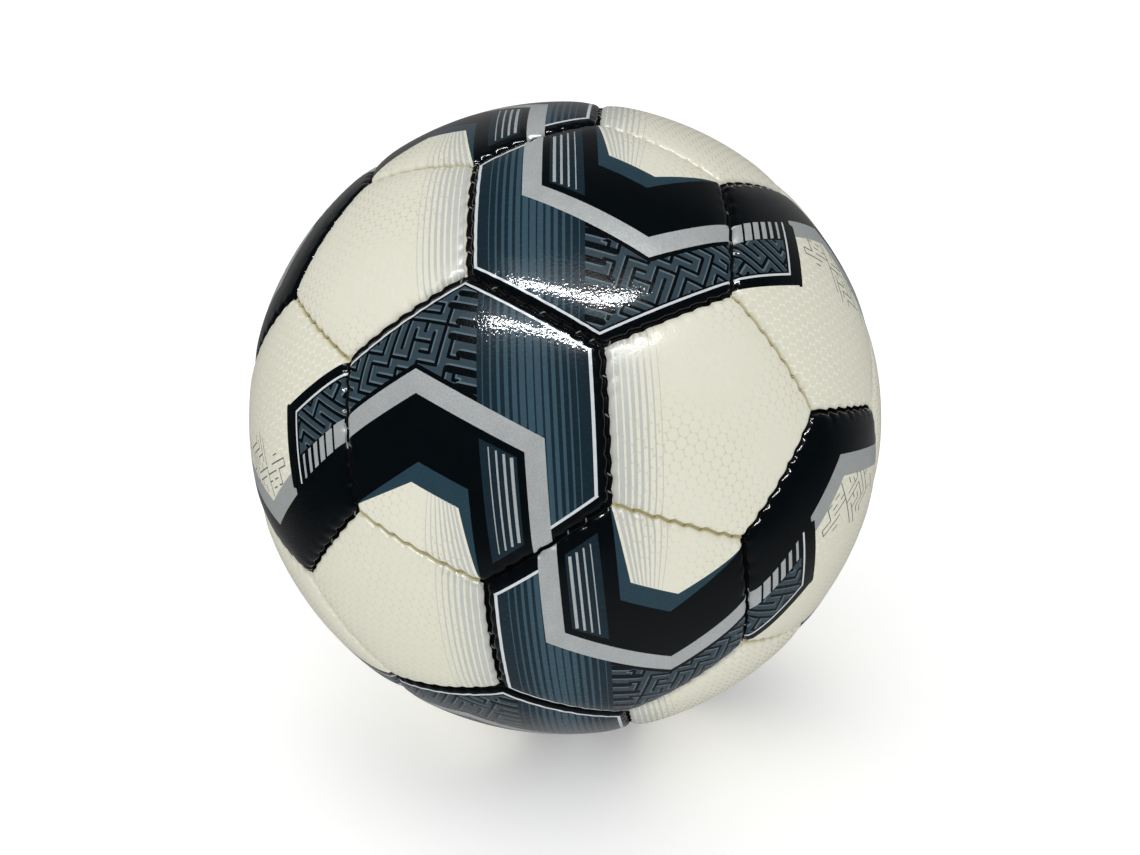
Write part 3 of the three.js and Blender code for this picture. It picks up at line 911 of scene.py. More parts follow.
def build_panel(panel, cut, materials):
    parts, skin_count = panel_mesh(panel, cut)
    points = np.concatenate(parts.points)
    plane = np.concatenate(parts.plane)
    used = sorted(set(parts.inks))
    slots = [materials[bare_skin(panel) if ink == CREAM else ink] for ink in used]
    indices = [used.index(ink) for ink in parts.inks]
    piece = make_object(panel.name + "_cover", points, parts.faces, slots, indices)
    mesh = piece.data
    reach = panel.apothem / math.cos(math.pi / panel.sides)
    add_plane_maps(mesh, plane, parts.inks, reach)
    normals = np.zeros(len(points) * 3, np.float32)
    mesh.vertex_normals.foreach_get("vector", normals)
    normals = normals.reshape(-1, 3)
    normals[:skin_count] = panel.skin_normals(plane[:skin_count])
    mesh.normals_split_custom_set_from_vertices([tuple(n) for n in normals])
    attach(piece, "root")
    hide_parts(panel.name)
    return piece


# ---- Stitching ----

THREAD_RADIUS = 0.56
THREAD_DEPTH = 2.75
THREAD_DIP = 0.35
THREAD_STEP = 0.55
THREAD_SIDES = 10
TWIST_PITCH = 2.4
PLY_SWELL = 0.16
THREAD_PALE, THREAD_DARK, THREAD_PAINTED_GLINT = range(3)
GLINT_SHARE = 0.25  # of the stitches of black seams, drawn pale grey as painted glints
ARCH_RADIUS = 0.2
ARCH_SPAN = 0.62
ARCH_RISE = 0.8
ARCH_DEPTH = 1.95
ARCH_STEPS = 8
ARCH_SIDES = 8
ARCH_LEAN = (0.25, 0.6)  # half of how far an arch runs along its seam


def seam_rings(seam):
    """Rings of points round the thread along one seam, and whether each ring lies between pale skins."""
    steps = math.ceil(seam.length / THREAD_STEP)
    rings = []
    for i in range(steps + 1):
        t = seam.length * i / steps
        ray = seam.start * math.cos(t / BALL_RADIUS) + seam.across * math.sin(t / BALL_RADIUS)
        swing = float(seam.swing(np.array([t]))[0])
        dip = THREAD_DIP * float(seam.stitched(np.array([t]))[0])
        middle = ray * (BALL_RADIUS - THREAD_DEPTH - dip) + seam.normal * swing
        ring = []
        for k in range(THREAD_SIDES):
            angle = 2 * math.pi * k / THREAD_SIDES
            ply = 1 + PLY_SWELL * math.cos(2 * (angle - 2 * math.pi * t / TWIST_PITCH))
            side = seam.normal * math.cos(angle) + ray * math.sin(angle)
            ring.append(middle + side * THREAD_RADIUS * ply)
        rings.append(np.array(ring))
    return rings, seam.pale_on_both_sides(np.linspace(0, seam.length, steps + 1))


def stitch_arch(seam, t, lean):
    """Rings of points round one stitch: a short arch over the gap, from one skin edge to the other."""
    rings = []
    for i in range(ARCH_STEPS + 1):
        turn = math.pi * i / ARCH_STEPS
        at = t - lean * math.cos(turn)
        ray = seam.start * math.cos(at / BALL_RADIUS) + seam.across * math.sin(at / BALL_RADIUS)
        swing = float(seam.swing(np.array([t]))[0])
        aside = swing - ARCH_SPAN * math.cos(turn)
        middle = ray * (BALL_RADIUS - ARCH_DEPTH - ARCH_RISE * (1 - math.sin(turn)))
        way = unit(
            seam.normal * ARCH_SPAN * math.sin(turn)
            + np.cross(seam.normal, ray) * lean * math.sin(turn)
            + ray * ARCH_RISE * math.cos(turn)
        )
        side = unit(np.cross(way, ray + seam.normal * 0.01))
        over = np.cross(side, way)
        ring = []
        for k in range(ARCH_SIDES):
            angle = 2 * math.pi * k / ARCH_SIDES
            ring.append(side * math.cos(angle) + over * math.sin(angle))
        rings.append(middle + seam.normal * aside + np.array(ring) * ARCH_RADIUS)
    return rings


def add_tube(points, faces, indices, rings, inks):
    """A closed tube through rings of points that all have the same count."""
    sides = len(rings[0])
    first = len(points)
    for ring in rings:
        points.extend(ring)
    for i in range(len(rings) - 1):
        for k in range(sides):
            a = first + i * sides + k
            b = first + i * sides + (k + 1) % sides
            faces.append((a, b, b + sides, a + sides))
            indices.append(inks[i])
    last = first + (len(rings) - 1) * sides
    faces.append(tuple(range(first + sides - 1, first - 1, -1)))
    faces.append(tuple(range(last, last + sides)))
    indices.extend([inks[0], inks[-1]])


def build_stitching(materials):
    """The waxed thread: a line in the floor of every seam, and an arch over the gap at each stitch."""
    points, faces, indices = [], [], []
    rng = random.Random(4)
    for seam in SEAMS.values():
        rings, pale = seam_rings(seam)
        inks = [THREAD_PALE if a and b else THREAD_DARK for a, b in zip(pale, pale[1:])]
        add_tube(points, faces, indices, rings, inks)
        for t in seam.stitches:
            if min(t, seam.length - t) < CORNER_FREE / 2:
                continue
            near = min(int(t / seam.length * len(inks)), len(inks) - 1)
            arch = stitch_arch(seam, t, rng.uniform(*ARCH_LEAN))
            # About a quarter of the arches beside black skin are pale grey: painted glints.
            glint_or_dark = THREAD_PAINTED_GLINT if rng.random() < GLINT_SHARE else THREAD_DARK
            ink = THREAD_PALE if inks[near] == THREAD_PALE else glint_or_dark
            add_tube(points, faces, indices, arch, [ink] * ARCH_STEPS)
    piece = make_object("seam_stitching", points, faces, materials, indices)
    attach(piece, "root")
    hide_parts("seam_thread")
    return piece


# ---- Materials ----


def linear(r, g, b):
    """A colour given as 0 to 255, as Blender wants it."""
    out = []
    for value in (r, g, b):
        c = value / 255
        out.append(c / 12.92 if c <= 0.04045 else ((c + 0.055) / 1.055) ** 2.4)
    return (*out, 1)


class Nodes:
    """A material being built; each call adds one node and gives its first output."""

    def __init__(self, name):
        self.material = bpy.data.materials.new(name)
        self.material.use_nodes = True
        self.tree = self.material.node_tree
        self.shader = self.tree.nodes["Principled BSDF"]

    def put(self, socket, value):
        if isinstance(value, bpy.types.NodeSocket):
            self.tree.links.new(value, socket)
        else:
            socket.default_value = value

    def set(self, **values):
        for name, value in values.items():
            self.put(self.shader.inputs[name.replace("_", " ")], value)

    def math(self, operation, *values, clamp=False):
        node = self.tree.nodes.new("ShaderNodeMath")
        node.operation = operation
        node.use_clamp = clamp
        for socket, value in zip(node.inputs, values):
            self.put(socket, value)
        return node.outputs[0]

    def vector(self, operation, *values):
        node = self.tree.nodes.new("ShaderNodeVectorMath")
        node.operation = operation
        for socket, value in zip(node.inputs, values):
            self.put(socket, value)
        return node.outputs["Value" if operation in ("LENGTH", "DOT_PRODUCT") else "Vector"]

    def scale(self, colour, share):
        node = self.tree.nodes.new("ShaderNodeVectorMath")
        node.operation = "SCALE"
        self.put(node.inputs[0], colour)
        self.put(node.inputs["Scale"], share)
        return node.outputs[0]

    def panel_mm(self):
        """The place on the panel's plane in millimetres."""
        node = self.tree.nodes.new("ShaderNodeUVMap")
        node.uv_map = "Panel"
        return self.vector("MULTIPLY", node.outputs[0], (100, 100, 100))

    def object_mm(self):
        node = self.tree.nodes.new("ShaderNodeTexCoord")
        return self.vector("MULTIPLY", node.outputs["Object"], (1000, 1000, 1000))

    def noise(self, where, scale, detail=2.0, rough=0.5):
        node = self.tree.nodes.new("ShaderNodeTexNoise")
        self.put(node.inputs["Vector"], where)
        node.inputs["Scale"].default_value = scale
        node.inputs["Detail"].default_value = detail
        node.inputs["Roughness"].default_value = rough
        return node.outputs["Fac"]

    def ramp(self, value, low, high, out_low=0.0, out_high=1.0, smooth_steps=False):
        node = self.tree.nodes.new("ShaderNodeMapRange")
        node.interpolation_type = "SMOOTHSTEP" if smooth_steps else "LINEAR"
        node.clamp = True
        names = ("Value", "From Min", "From Max", "To Min", "To Max")
        for name, v in zip(names, (value, low, high, out_low, out_high)):
            self.put(node.inputs[name], v)
        return node.outputs[0]

    def mix(self, share, a, b):
        node = self.tree.nodes.new("ShaderNodeMix")
        node.data_type = "RGBA"
        self.put(node.inputs[0], share)
        self.put(node.inputs[6], a)
        self.put(node.inputs[7], b)
        return node.outputs[2]

    def bump(self, height, distance, strength=1.0, under=None):
        node = self.tree.nodes.new("ShaderNodeBump")
        node.inputs["Strength"].default_value = strength
        node.inputs["Distance"].default_value = distance * MM
        self.put(node.inputs["Height"], height)
        if under is not None:
            self.put(node.inputs["Normal"], under)
        return node.outputs[0]


DOT_PITCH = 3.2
DOT_RADIUS = 1.49
DOT_SQUASH = 0.94  # the dots run together with four of their six neighbours
DOT_ROWS_TURN = math.radians(15)


def lattice_distance(nodes, where, offset):
    """Distance in millimetres to the nearest point of a rectangular lattice, turned on the panel."""
    cell = (DOT_PITCH, DOT_PITCH * math.sqrt(3), 1)
    c, s = math.cos(DOT_ROWS_TURN), math.sin(DOT_ROWS_TURN)
    turned = nodes.tree.nodes.new("ShaderNodeCombineXYZ")
    nodes.put(turned.inputs[0], nodes.vector("DOT_PRODUCT", where, (c, s, 0)))
    nodes.put(turned.inputs[1], nodes.vector("DOT_PRODUCT", where, (-s, c, 0)))
    moved = nodes.vector("ADD", turned.outputs[0], (cell[0] * offset, cell[1] * offset, 0))
    share = nodes.vector("FRACTION", nodes.vector("DIVIDE", moved, cell))
    centred = nodes.vector("MULTIPLY", nodes.vector("SUBTRACT", share, (0.5, 0.5, 0)), (cell[0], cell[1], 0))
    return nodes.vector("LENGTH", nodes.vector("MULTIPLY", centred, (1, DOT_SQUASH, 1)))


def dots(nodes, where):
    """1 on the round dots of the embossed skin and 0 between them."""
    near = nodes.math("MINIMUM", lattice_distance(nodes, where, 0), lattice_distance(nodes, where, 0.5))
    return nodes.ramp(near, DOT_RADIUS - 0.09, DOT_RADIUS + 0.09, 1.0, 0.0, True)


def orange_peel(nodes, where, strength=1.0, under=None):
    """The fine unevenness of the clear coat, which breaks highlights up into sparkles."""
    fine = nodes.noise(where, 1.2, 1.5, 0.5)
    return nodes.bump(fine, 0.05, strength, under)


def cream_material(name, dot_colour, gap_painted_light, gap_painted_sheen, stain):
    """The bare skin: faintly raised matt dots with glossier gaps between them. The gaps' colour is painted
    light: painted shade where it is darker than the dots, painted sheen where it is lighter, as in broad
    patches and on the caps.
    """
    nodes = Nodes(name)
    mm = nodes.panel_mm()
    dot = dots(nodes, mm)
    mottle = nodes.ramp(nodes.noise(mm, 0.09, 3.0), 0.35, 0.7)
    # painted sheen: broad patches where the gaps between the dots are lighter
    sheen_patches = nodes.ramp(nodes.noise(mm, 0.03, 1.0), 0.35, 0.65)
    gap = nodes.mix(sheen_patches, linear(*gap_painted_light), linear(*gap_painted_sheen))
    base = nodes.mix(dot, gap, linear(*dot_colour))
    base = nodes.mix(nodes.math("MULTIPLY", mottle, 0.22), base, linear(*stain))
    grain = nodes.ramp(nodes.noise(mm, 2.2, 2.0), 0.25, 0.75, 0.0, 0.1)
    base = nodes.mix(grain, base, linear(190, 188, 168))
    speck = nodes.ramp(nodes.noise(mm, 1.3, 1.0), 0.79, 0.82, 0.0, 0.5)
    base = nodes.mix(speck, base, linear(150, 138, 112))
    rough = nodes.ramp(dot, 0, 1, 0.2, 0.42)
    rough = nodes.math("ADD", rough, nodes.ramp(nodes.noise(mm, 0.5), 0.3, 0.7, -0.03, 0.03))
    raised = nodes.bump(dot, 0.012, 1.0)
    nodes.set(Base_Color=base, Roughness=rough, Normal=orange_peel(nodes, mm, 0.6, raised))
    nodes.set(IOR=1.48, Coat_Weight=0.25, Coat_Roughness=0.15, Coat_IOR=1.5)
    nodes.put(nodes.shader.inputs["Coat Normal"], orange_peel(nodes, mm, 0.8))
    return nodes.material


def ink_material(name, colour, shade, metallic=0.0, roughness=0.25, flake=0.0, coat=0.8):
    """A printed ink under the clear coat, mottled from colour to shade, with or without flake."""
    nodes = Nodes(name)
    mm = nodes.panel_mm()
    cloud = nodes.ramp(nodes.noise(mm, 0.16, 4.0, 0.6), 0.3, 0.7)
    grain = nodes.noise(mm, 5.0, 2.0)
    share = nodes.math("ADD", nodes.math("MULTIPLY", cloud, 0.6), nodes.math("MULTIPLY", grain, 0.4))
    base = nodes.mix(share, linear(*colour), linear(*shade))
    if flake:
        spark = nodes.ramp(nodes.noise(mm, 1.8, 2.0), 0.3, 0.7, 1 - flake, 1 + flake)
        base = nodes.scale(base, spark)
    rough = nodes.ramp(nodes.noise(mm, 0.8, 3.0), 0.3, 0.7, roughness - 0.04, roughness + 0.05)
    peel = orange_peel(nodes, mm)
    nodes.set(Base_Color=base, Roughness=rough, Metallic=metallic, IOR=1.46, Normal=peel)
    nodes.set(Coat_Weight=coat, Coat_Roughness=0.025, Coat_IOR=1.5, Coat_Normal=peel)
    nodes.set(Specular_IOR_Level=0.12)
    return nodes.material


def cloth_material(name, pitch):
    """Woven backing cloth: over-and-under threads at that pitch."""
    nodes = Nodes(name)
    mm = nodes.object_mm()
    weave = []
    for axis in ((1, 0, 0), (0, 1, 0), (0, 0, 1)):
        along = nodes.vector("DOT_PRODUCT", mm, axis)
        weave.append(nodes.math("SINE", nodes.math("MULTIPLY", along, 2 * math.pi / pitch)))
    height = nodes.math("MULTIPLY", nodes.math("MULTIPLY", weave[0], weave[1]), weave[2])
    height = nodes.ramp(height, -0.6, 0.6)
    fibre = nodes.noise(mm, 3.0, 4.0, 0.7)
    base = nodes.mix(height, linear(176, 168, 146), linear(216, 209, 188))
    base = nodes.mix(nodes.math("MULTIPLY", fibre, 0.4), base, linear(150, 141, 120))
    nodes.set(Base_Color=base, Roughness=0.9, Normal=nodes.bump(height, 0.12), Sheen_Weight=0.2)
    return nodes.material


def thread_material(name, colour, shade, shine):
    """Twisted fibre or a cut edge, mottled from colour to shade."""
    nodes = Nodes(name)
    mm = nodes.object_mm()
    fibre = nodes.noise(mm, 4.0, 4.0, 0.7)
    base = nodes.mix(fibre, linear(*colour), linear(*shade))
    nodes.set(Base_Color=base, Roughness=0.5, Normal=nodes.bump(fibre, 0.1))
    nodes.set(Coat_Weight=shine, Coat_Roughness=0.3, Specular_IOR_Level=2.5 * shine)
    return nodes.material


def black_seam_material():
    """The inside of a seam beside black skin: matt black over fibre with a little lint, darker than the
    black print as painted shade, and painted shade in place of a pale panel's own colour.
    """
    nodes = Nodes("seam_black")
    mm = nodes.object_mm()
    fibre = nodes.noise(mm, 4.0, 4.0, 0.7)
    base = nodes.mix(fibre, linear(2, 3, 4), linear(7, 8, 10))
    lint = nodes.ramp(nodes.noise(mm, 1.7, 2.0), 0.74, 0.8, 0.0, 0.35)
    base = nodes.mix(lint, base, linear(96, 96, 90))
    nodes.set(Base_Color=base, Roughness=0.8, Normal=nodes.bump(fibre, 0.1))
    nodes.set(Specular_IOR_Level=0.15)
    return nodes.material


def rubber_material(name, colour, shade, roughness, dust):
    """Moulded rubber: cloudy, finely pitted, with dust in patches."""
    nodes = Nodes(name)
    mm = nodes.object_mm()
    cloud = nodes.noise(mm, 0.12, 4.0, 0.6)
    grain = nodes.noise(mm, 5.0, 3.0)
    base = nodes.mix(cloud, linear(*colour), linear(*shade))
    dusty = nodes.ramp(nodes.noise(mm, 0.4, 5.0, 0.7), 0.5, 0.75, 0.0, 0.6)
    base = nodes.mix(dusty, base, linear(*dust))
    rough = nodes.ramp(cloud, 0.3, 0.7, roughness - 0.08, roughness + 0.08)
    nodes.set(Base_Color=base, Roughness=rough, Normal=nodes.bump(grain, 0.04))
    return nodes.material


def panel_materials():
    return {
        BLACK: ink_material("print_black", (4, 9, 13), (7, 13, 17), roughness=0.22),
        CREAM: cream_material(
            "skin_cream", (230, 228, 211), (211, 210, 191), (236, 235, 222), (224, 221, 199)
        ),
        DARK: ink_material("print_dark_slate", (22, 39, 49), (27, 44, 54)),
        SLATE: ink_material("print_slate", (53, 79, 92), (59, 85, 98)),
        DEEP: ink_material("print_deep_slate", (37, 61, 73), (42, 66, 78)),
        MID: ink_material("print_maze_slate", (50, 66, 76), (57, 73, 82)),
        LIGHT: ink_material("print_light_slate", (88, 105, 114), (98, 114, 122)),
        SILVER: ink_material("print_silver", (208, 212, 213), (190, 195, 196), 0.4, 0.34, 0.1, 0.5),
        WHITE: ink_material("print_white_line", (222, 227, 230), (206, 212, 216), 0.1, 0.35, 0.05, 0.5),
        GREY: ink_material("print_pinstripe", (196, 199, 194), (206, 208, 203), 0.15, 0.38, 0.03, 0.3),
        BAND: ink_material("print_grey_band", (176, 182, 182), (188, 193, 192), 0.35, 0.34, 0.08, 0.4),
        LINES: ink_material("print_thin_lines", (84, 95, 97), (102, 112, 113), 0.1, 0.3, 0.1, 0.4),
        TURNED: thread_material("turned_edge", (221, 216, 183), (196, 188, 146), 0.2),
        BLACK_SEAM_AND_SHADE: black_seam_material(),
        # Copies of the cream with painted light: sheen in the caps' gaps, and even light on the faint
        # pentagon.
        CAP_SKIN_PAINTED_SHEEN: cream_material(
            "skin_cream_cap", (225, 223, 204), (242, 241, 231), (249, 248, 241), (222, 219, 197)
        ),
        FAINT_SKIN_PAINTED_LIGHT: cream_material(
            "skin_cream_faint", (226, 225, 207), (218, 217, 198), (228, 227, 210), (218, 216, 193)
        ),
        CLOTH: cloth_material("backing_cloth", 0.75),
    }


# ---- Bladder and valve: pieces turned about the X axis, in millimetres ----

TOUCH_GAP = 0.3
BLADDER_RADIUS = BALL_RADIUS - 9.1
BLADDER_WALL = 1.1
BLADDER_HOLE_RADIUS = 5.9
BLADDER_SIDES = 72
BLADDER_STEPS = 90
MOULD_LINE_HEIGHT = 0.32
MOULD_LINE_WIDTH = 0.7
PATCH_RADIUS = 17
PATCH_THICKNESS = 1.8
VALVE_RIM = BALL_RADIUS - 0.9
VALVE_SIDES = 64
FLANGE_TOP = BLADDER_RADIUS + TOUCH_GAP + 1.6
BEAD_PITCH = 2.6
CLOTH_RING_SIDES = 144
PINKED_TEETH = 36


def arc(radius, from_out, to_out, steps):
    """Profile points at one distance from the ball's centre, between two distances from the axis."""
    turns = np.linspace(math.asin(from_out / radius), math.asin(to_out / radius), steps + 1)
    return [(radius * math.sin(turn), radius * math.cos(turn)) for turn in turns]


def beads(out, depth, low, high, steps):
    """A beaded stem from one height to another: rounded ribs with grooves between them."""
    points = []
    for along in np.linspace(low, high, steps + 1):
        groove = 0.5 - 0.5 * math.cos(2 * math.pi * (along - low) / BEAD_PITCH)
        points.append((out - depth * groove, along))
    return points


def turned(name, profile, sides, material, relief=None, facing=1):
    """A closed piece turned about X from a closed profile of (distance out, place along X)."""
    points, index = [], {}
    for i, (out, along) in enumerate(profile):
        for k in range(sides):
            if out < 1e-6 and k:
                index[i, k] = index[i, 0]
                continue
            angle = 2 * math.pi * k / sides
            o, x = relief(angle, out, along) if relief else (out, along)
            index[i, k] = len(points)
            points.append((x * facing, o * math.cos(angle), o * math.sin(angle)))
    faces = []
    for i in range(len(profile)):
        j = (i + 1) % len(profile)
        for k in range(sides):
            n = (k + 1) % sides
            corners = [index[i, k], index[i, n], index[j, n], index[j, k]]
            face = list(dict.fromkeys(corners))
            if len(face) > 2:
                faces.append(face[::facing])
    points = np.array(points)
    volume = sum(points[f[0]] @ np.cross(points[f[1]], points[f[2]]) for f in faces)
    if volume < 0:
        faces = [face[::-1] for face in faces]
    return make_object(name, points, faces, [material])


def build_bladder(material):
    def shell(radius, rib):
        start = math.asin(BLADDER_HOLE_RADIUS / radius)
        out = []
        for turn in np.linspace(start, math.pi, BLADDER_STEPS + 1):
            line = math.exp(-(((turn - math.pi / 2) * radius / MOULD_LINE_WIDTH) ** 2))
            here = radius + rib * line
            out.append((max(here * math.sin(turn), 0.0), here * math.cos(turn)))
        out[-1] = (0.0, out[-1][1])
        return out

    def uneven(angle, out, along):
        swell = 1 + 0.0012 * math.sin(3 * angle + along / 40) * min(out / BLADDER_RADIUS, 1)
        return out * swell, along

    inner = shell(BLADDER_RADIUS - BLADDER_WALL, 0)
    profile = shell(BLADDER_RADIUS, MOULD_LINE_HEIGHT) + inner[::-1]
    return turned("bladder_moulded", profile, BLADDER_SIDES, material, uneven)


def build_balance_patch(material):
    """A disc with fine concentric ridges and a thinned edge."""
    low = BLADDER_RADIUS + TOUCH_GAP
    face = []
    for out, along in arc(low + PATCH_THICKNESS, 0, PATCH_RADIUS, 68):
        ridge = 0.16 * (0.5 + 0.5 * math.cos(2 * math.pi * out / 2))
        thin = 1.1 * smooth((out - PATCH_RADIUS + 3) / 3)
        face.append((out, along - ridge - float(thin)))
    profile = face + arc(low, PATCH_RADIUS, 0, 24)
    return turned("balance_patch_moulded", profile, BLADDER_SIDES, material, None, -1)


def build_valve_housing(material):
    floor = VALVE_RIM - 20
    under = arc(BLADDER_RADIUS + TOUCH_GAP, 5.4, 14, 8)
    top = []
    for out, along in arc(FLANGE_TOP, 6, 14, 48)[::-1]:
        groove = max(0.0, math.sin(math.pi * (out - 7.2) / 1.1)) if 7.2 < out < 12.7 else 0.0
        top.append((out, along - 0.35 * groove))
    stem = beads(5.4, 0.4, floor + 0.8, under[0][1] - 0.3, 40)
    mouth = [
        (6, VALVE_RIM - 0.45), (5.85, VALVE_RIM - 0.15), (5.6, VALVE_RIM), (5.1, VALVE_RIM),
        (4.88, VALVE_RIM - 0.1), (4.8, VALVE_RIM - 0.35), (4.8, VALVE_RIM - 1.9),
        (4.7, VALVE_RIM - 2), (3.3, VALVE_RIM - 2), (3.05, VALVE_RIM - 2.15),
        (3, VALVE_RIM - 2.5),
    ]
    foot = [(3, floor + 0.4), (3.3, floor), (4.9, floor), (5.25, floor + 0.25)]
    return turned("valve_housing_moulded", stem + under + top + mouth + foot, VALVE_SIDES, material)


def build_valve_plug(material):
    """The plug: a dished head with a funnel for the needle, and a beaded stem."""
    neck = VALVE_RIM - 2 + TOUCH_GAP
    foot = VALVE_RIM - 17.5
    head = [
        (4.15, neck), (4.4, neck + 0.25), (4.4, VALVE_RIM - 0.45), (4.3, VALVE_RIM - 0.15),
        (4.05, VALVE_RIM), (3.5, VALVE_RIM), (3.25, VALVE_RIM - 0.14), (3.1, VALVE_RIM - 0.3),
        (2.3, VALVE_RIM - 0.3), (2.1, VALVE_RIM - 0.36), (1.9, VALVE_RIM - 0.6),
        (1.3, VALVE_RIM - 1.2), (1.05, VALVE_RIM - 1.5), (1, VALVE_RIM - 1.8),
    ]
    stem = beads(2.7, 0.3, foot + 2, neck - 0.2, 40)
    foot_end = [(1, foot + 0.2), (1.2, foot), (1.8, foot), (2.1, foot + 0.2)]

    def nicked(angle, out, along):
        nick = max(0.0, math.cos(8 * angle)) ** 6 if out > 3.4 and along > VALVE_RIM - 0.2 else 0.0
        return out, along - 0.12 * nick

    return turned("valve_plug_moulded", stem + head + foot_end, VALVE_SIDES, material, nicked)


def build_valve_ring(material):
    """The cloth ring behind the hole, with a pinked edge."""
    low = BLADDER_RADIUS + 1.6 + 2 * TOUCH_GAP
    inner = arc(low, HOLE_RADIUS, 20, 24)
    outer = arc(low + 0.8, HOLE_RADIUS, 20, 24)[::-1]

    def pinked(angle, out, along):
        saw = abs((angle * PINKED_TEETH / (2 * math.pi)) % 1 - 0.5) * 2
        puff = 0.06 * math.sin(out * 2.6) * math.sin(angle * 20)
        return out * (1 - 0.05 * saw) if out > 19.5 else out, along - abs(puff)

    return turned("valve_ring_cut", inner + outer, CLOTH_RING_SIDES, material, pinked)


def build_inside():
    bladder = rubber_material("bladder_rubber", (38, 38, 41), (60, 59, 60), 0.6, (112, 110, 106))
    valve = rubber_material("valve_rubber", (17, 19, 22), (28, 30, 33), 0.42, (48, 50, 52))
    plug = rubber_material("plug_rubber", (208, 205, 192), (222, 219, 207), 0.42, (176, 172, 156))
    ring = build_valve_ring(cloth_material("ring_cloth", 0.6))
    made = (
        (build_bladder(bladder), "bladder_rubber", "bladder"),
        (build_balance_patch(bladder), "bladder_rubber", "balance_patch"),
        (build_valve_housing(valve), "valve_rubber", "valve_housing"),
        (build_valve_plug(plug), "plug_rubber", "valve_plug"),
        (ring, "backing_cloth", "valve_ring"),
    )
    for piece, slot, node in made:
        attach(piece, "root")
        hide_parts(node)


# ---- Camera, floor and light ----

CAMERA_PLACE = Vector((0.28937577, -3.98693209, 1.39449893))  # in ball radii
CAMERA_RIGHT = Vector((0.99674221, 0.04487758, -0.06701471))
CAMERA_UP = Vector((0.04787471, 0.33947196, 0.93939704))
CAMERA_FOV = math.radians(47.24)
SENSOR_WIDTH = 36
FLOOR_HALF = 40.0
FILL_STRENGTH = 0.59
FLOOR_GLOW = 0.3
ROOM_SEEN_IN_GLOSS = (0.1, 1.0, 0.006, 0.15)
GROUND_SEEN_IN_GLOSS = (-0.2, -0.9, 0.0, 0.14)
SKY_STRENGTH = 1.3
SKY_FROM = (-0.15, -0.35, 1)
SKY_SPREAD = math.radians(100)
LIGHT_DISTANCE = 1.4
STRIP_SIZE = (1.2, 0.05)
STRIP_POWER = 20
BOX_SIZE = (0.8, 0.3)
BOX_POWER = 0.4


def add_camera():
    data = bpy.data.cameras.new("camera")
    data.sensor_width = SENSOR_WIDTH
    data.lens = SENSOR_WIDTH / 2 / math.tan(CAMERA_FOV / 2)
    camera = put_in_scene("camera", data)
    back = CAMERA_RIGHT.cross(CAMERA_UP)
    turned = Matrix((CAMERA_RIGHT, CAMERA_UP, back)).transposed().to_4x4()
    camera.matrix_world = Matrix.Translation(CAMERA_PLACE * BALL_RADIUS * MM) @ turned
    bpy.context.scene.camera = camera


def add_floor():
    corners = [(x * FLOOR_HALF, y * FLOOR_HALF) for x, y in ((-1, -1), (1, -1), (1, 1), (-1, 1))]
    mesh = bpy.data.meshes.new("floor")
    mesh.from_pydata([(x, y, CAD_LOW.z) for x, y in corners], [], [(0, 1, 2, 3)])
    floor = put_in_scene("floor", mesh)
    nodes = Nodes("floor_white")
    nodes.set(Base_Color=linear(240, 240, 240), Roughness=0.9)
    nodes.set(Emission_Color=(1, 1, 1, 1), Emission_Strength=FLOOR_GLOW)
    mesh.materials.append(nodes.material)
    floor.visible_glossy = False


def add_softbox(name, place, size, power):
    """A light that only gloss mirrors, turned to the ball."""
    data = bpy.data.lights.new(name, "AREA")
    data.shape = "RECTANGLE"
    data.size, data.size_y = size
    data.energy = power
    light = put_in_scene(name, data)
    light.location = place
    light.rotation_mode = "QUATERNION"
    light.rotation_quaternion = Vector(place).to_track_quat("Z", "Y")
    light.visible_diffuse = False


def add_fade(tree, height, limits):
    """A smooth step; limits gives where it starts and ends, and its values there."""
    fade = tree.nodes.new("ShaderNodeMapRange")
    fade.interpolation_type = "SMOOTHSTEP"
    for name, value in zip(("From Min", "From Max", "To Min", "To Max"), limits):
        fade.inputs[name].default_value = value
    tree.links.new(height, fade.inputs["Value"])
    return fade.outputs[0]


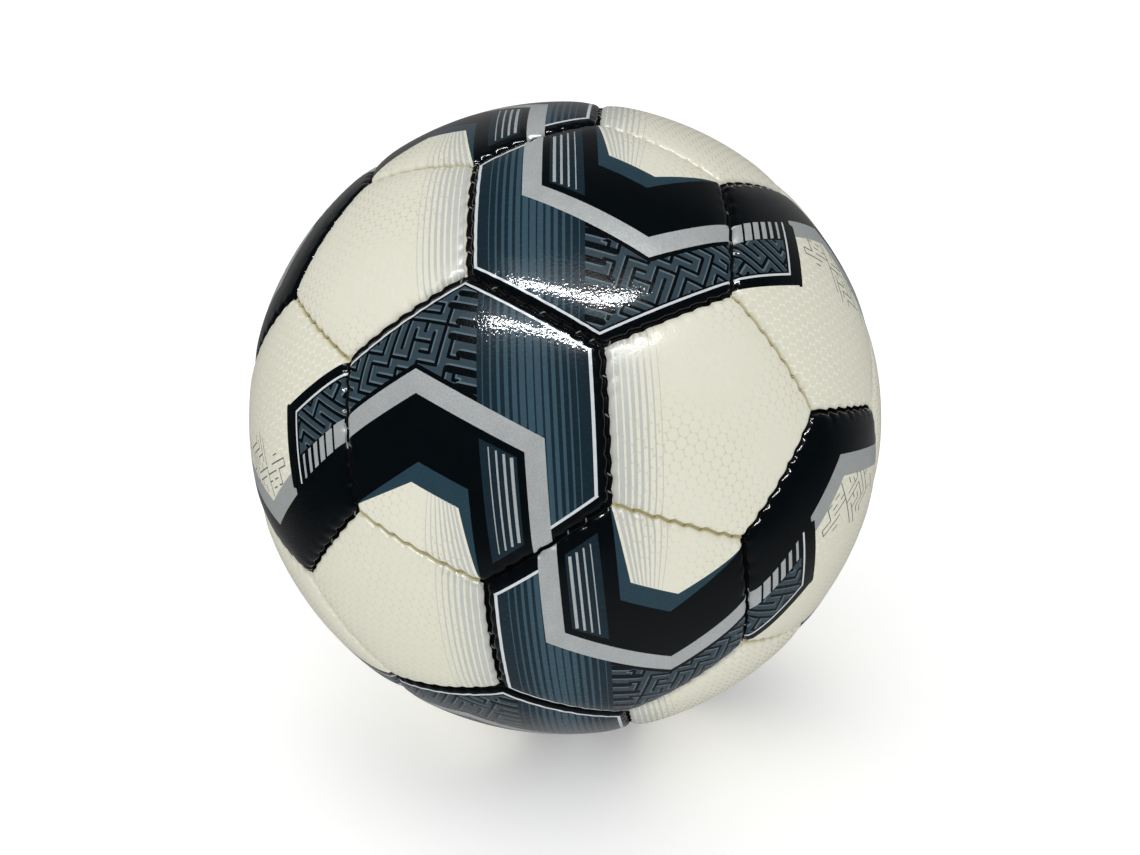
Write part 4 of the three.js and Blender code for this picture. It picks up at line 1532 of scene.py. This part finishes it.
def add_world():
    """White to the camera, a softer fill for matt surfaces, and a dim room for gloss to mirror."""
    world = bpy.data.worlds.new("studio")
    world.use_nodes = True
    bpy.context.scene.world = world
    tree = world.node_tree
    back = tree.nodes["Background"]
    coords = tree.nodes.new("ShaderNodeTexCoord")
    split = tree.nodes.new("ShaderNodeSeparateXYZ")
    tree.links.new(coords.outputs["Generated"], split.inputs[0])
    room = add_fade(tree, split.outputs["Y"], ROOM_SEEN_IN_GLOSS)
    ground = add_fade(tree, split.outputs["Z"], GROUND_SEEN_IN_GLOSS)
    around = tree.nodes.new("ShaderNodeMath")
    tree.links.new(room, around.inputs[0])
    tree.links.new(ground, around.inputs[1])
    path = tree.nodes.new("ShaderNodeLightPath")
    matt = tree.nodes.new("ShaderNodeMix")
    matt.inputs[2].default_value = FILL_STRENGTH
    matt.inputs[3].default_value = 1.0
    tree.links.new(path.outputs["Is Camera Ray"], matt.inputs[0])
    mix = tree.nodes.new("ShaderNodeMix")
    tree.links.new(path.outputs["Is Glossy Ray"], mix.inputs[0])
    tree.links.new(matt.outputs[0], mix.inputs[2])
    tree.links.new(around.outputs[0], mix.inputs[3])
    tree.links.new(mix.outputs[0], back.inputs["Strength"])
    back.inputs["Color"].default_value = (1, 1, 1, 1)


def add_sky_light():
    """A broad soft light from above and in front, for the shading only."""
    data = bpy.data.lights.new("ceiling", "SUN")
    data.energy = SKY_STRENGTH
    data.angle = SKY_SPREAD
    light = put_in_scene("ceiling", data)
    light.rotation_mode = "QUATERNION"
    light.rotation_quaternion = Vector(SKY_FROM).to_track_quat("Z", "Y")
    light.visible_glossy = False


def from_sky(azimuth, elevation, distance):
    """A place at that distance; azimuth 0 is in front of the ball and 90 to its right."""
    a, e = math.radians(azimuth), math.radians(elevation)
    out = distance * math.cos(e)
    return (out * math.sin(a), -out * math.cos(a), distance * math.sin(e))


def add_lights():
    add_world()
    add_sky_light()
    add_softbox("strip_light", from_sky(8, 56, LIGHT_DISTANCE), STRIP_SIZE, STRIP_POWER)
    add_softbox("softbox", from_sky(0, 66, LIGHT_DISTANCE), BOX_SIZE, BOX_POWER)


# ---- The model ----


def main():
    bpy.context.scene.view_settings.view_transform = "Standard"
    add_camera()
    materials = panel_materials()
    cuts = [(panel, triangulate(panel)) for panel in layout()]
    for panel, cut in cuts:
        note_rim(panel, cut)
    for panel, cut in cuts:
        ink_rim_band(panel, cut)
        build_panel(panel, cut, materials)
    build_stitching(
        [
            thread_material("thread_waxed", (206, 197, 148), (170, 158, 104), 0.2),
            # near-black thread wherever a seam is not pale on both sides
            thread_material("thread_inked", (5, 6, 8), (12, 13, 15), 0.03),
            # pale grey arches in black seams: painted glints
            thread_material("thread_pulled", (168, 170, 166), (60, 62, 63), 0.2),
        ]
    )
    build_inside()
    add_floor()
    add_lights()


main()
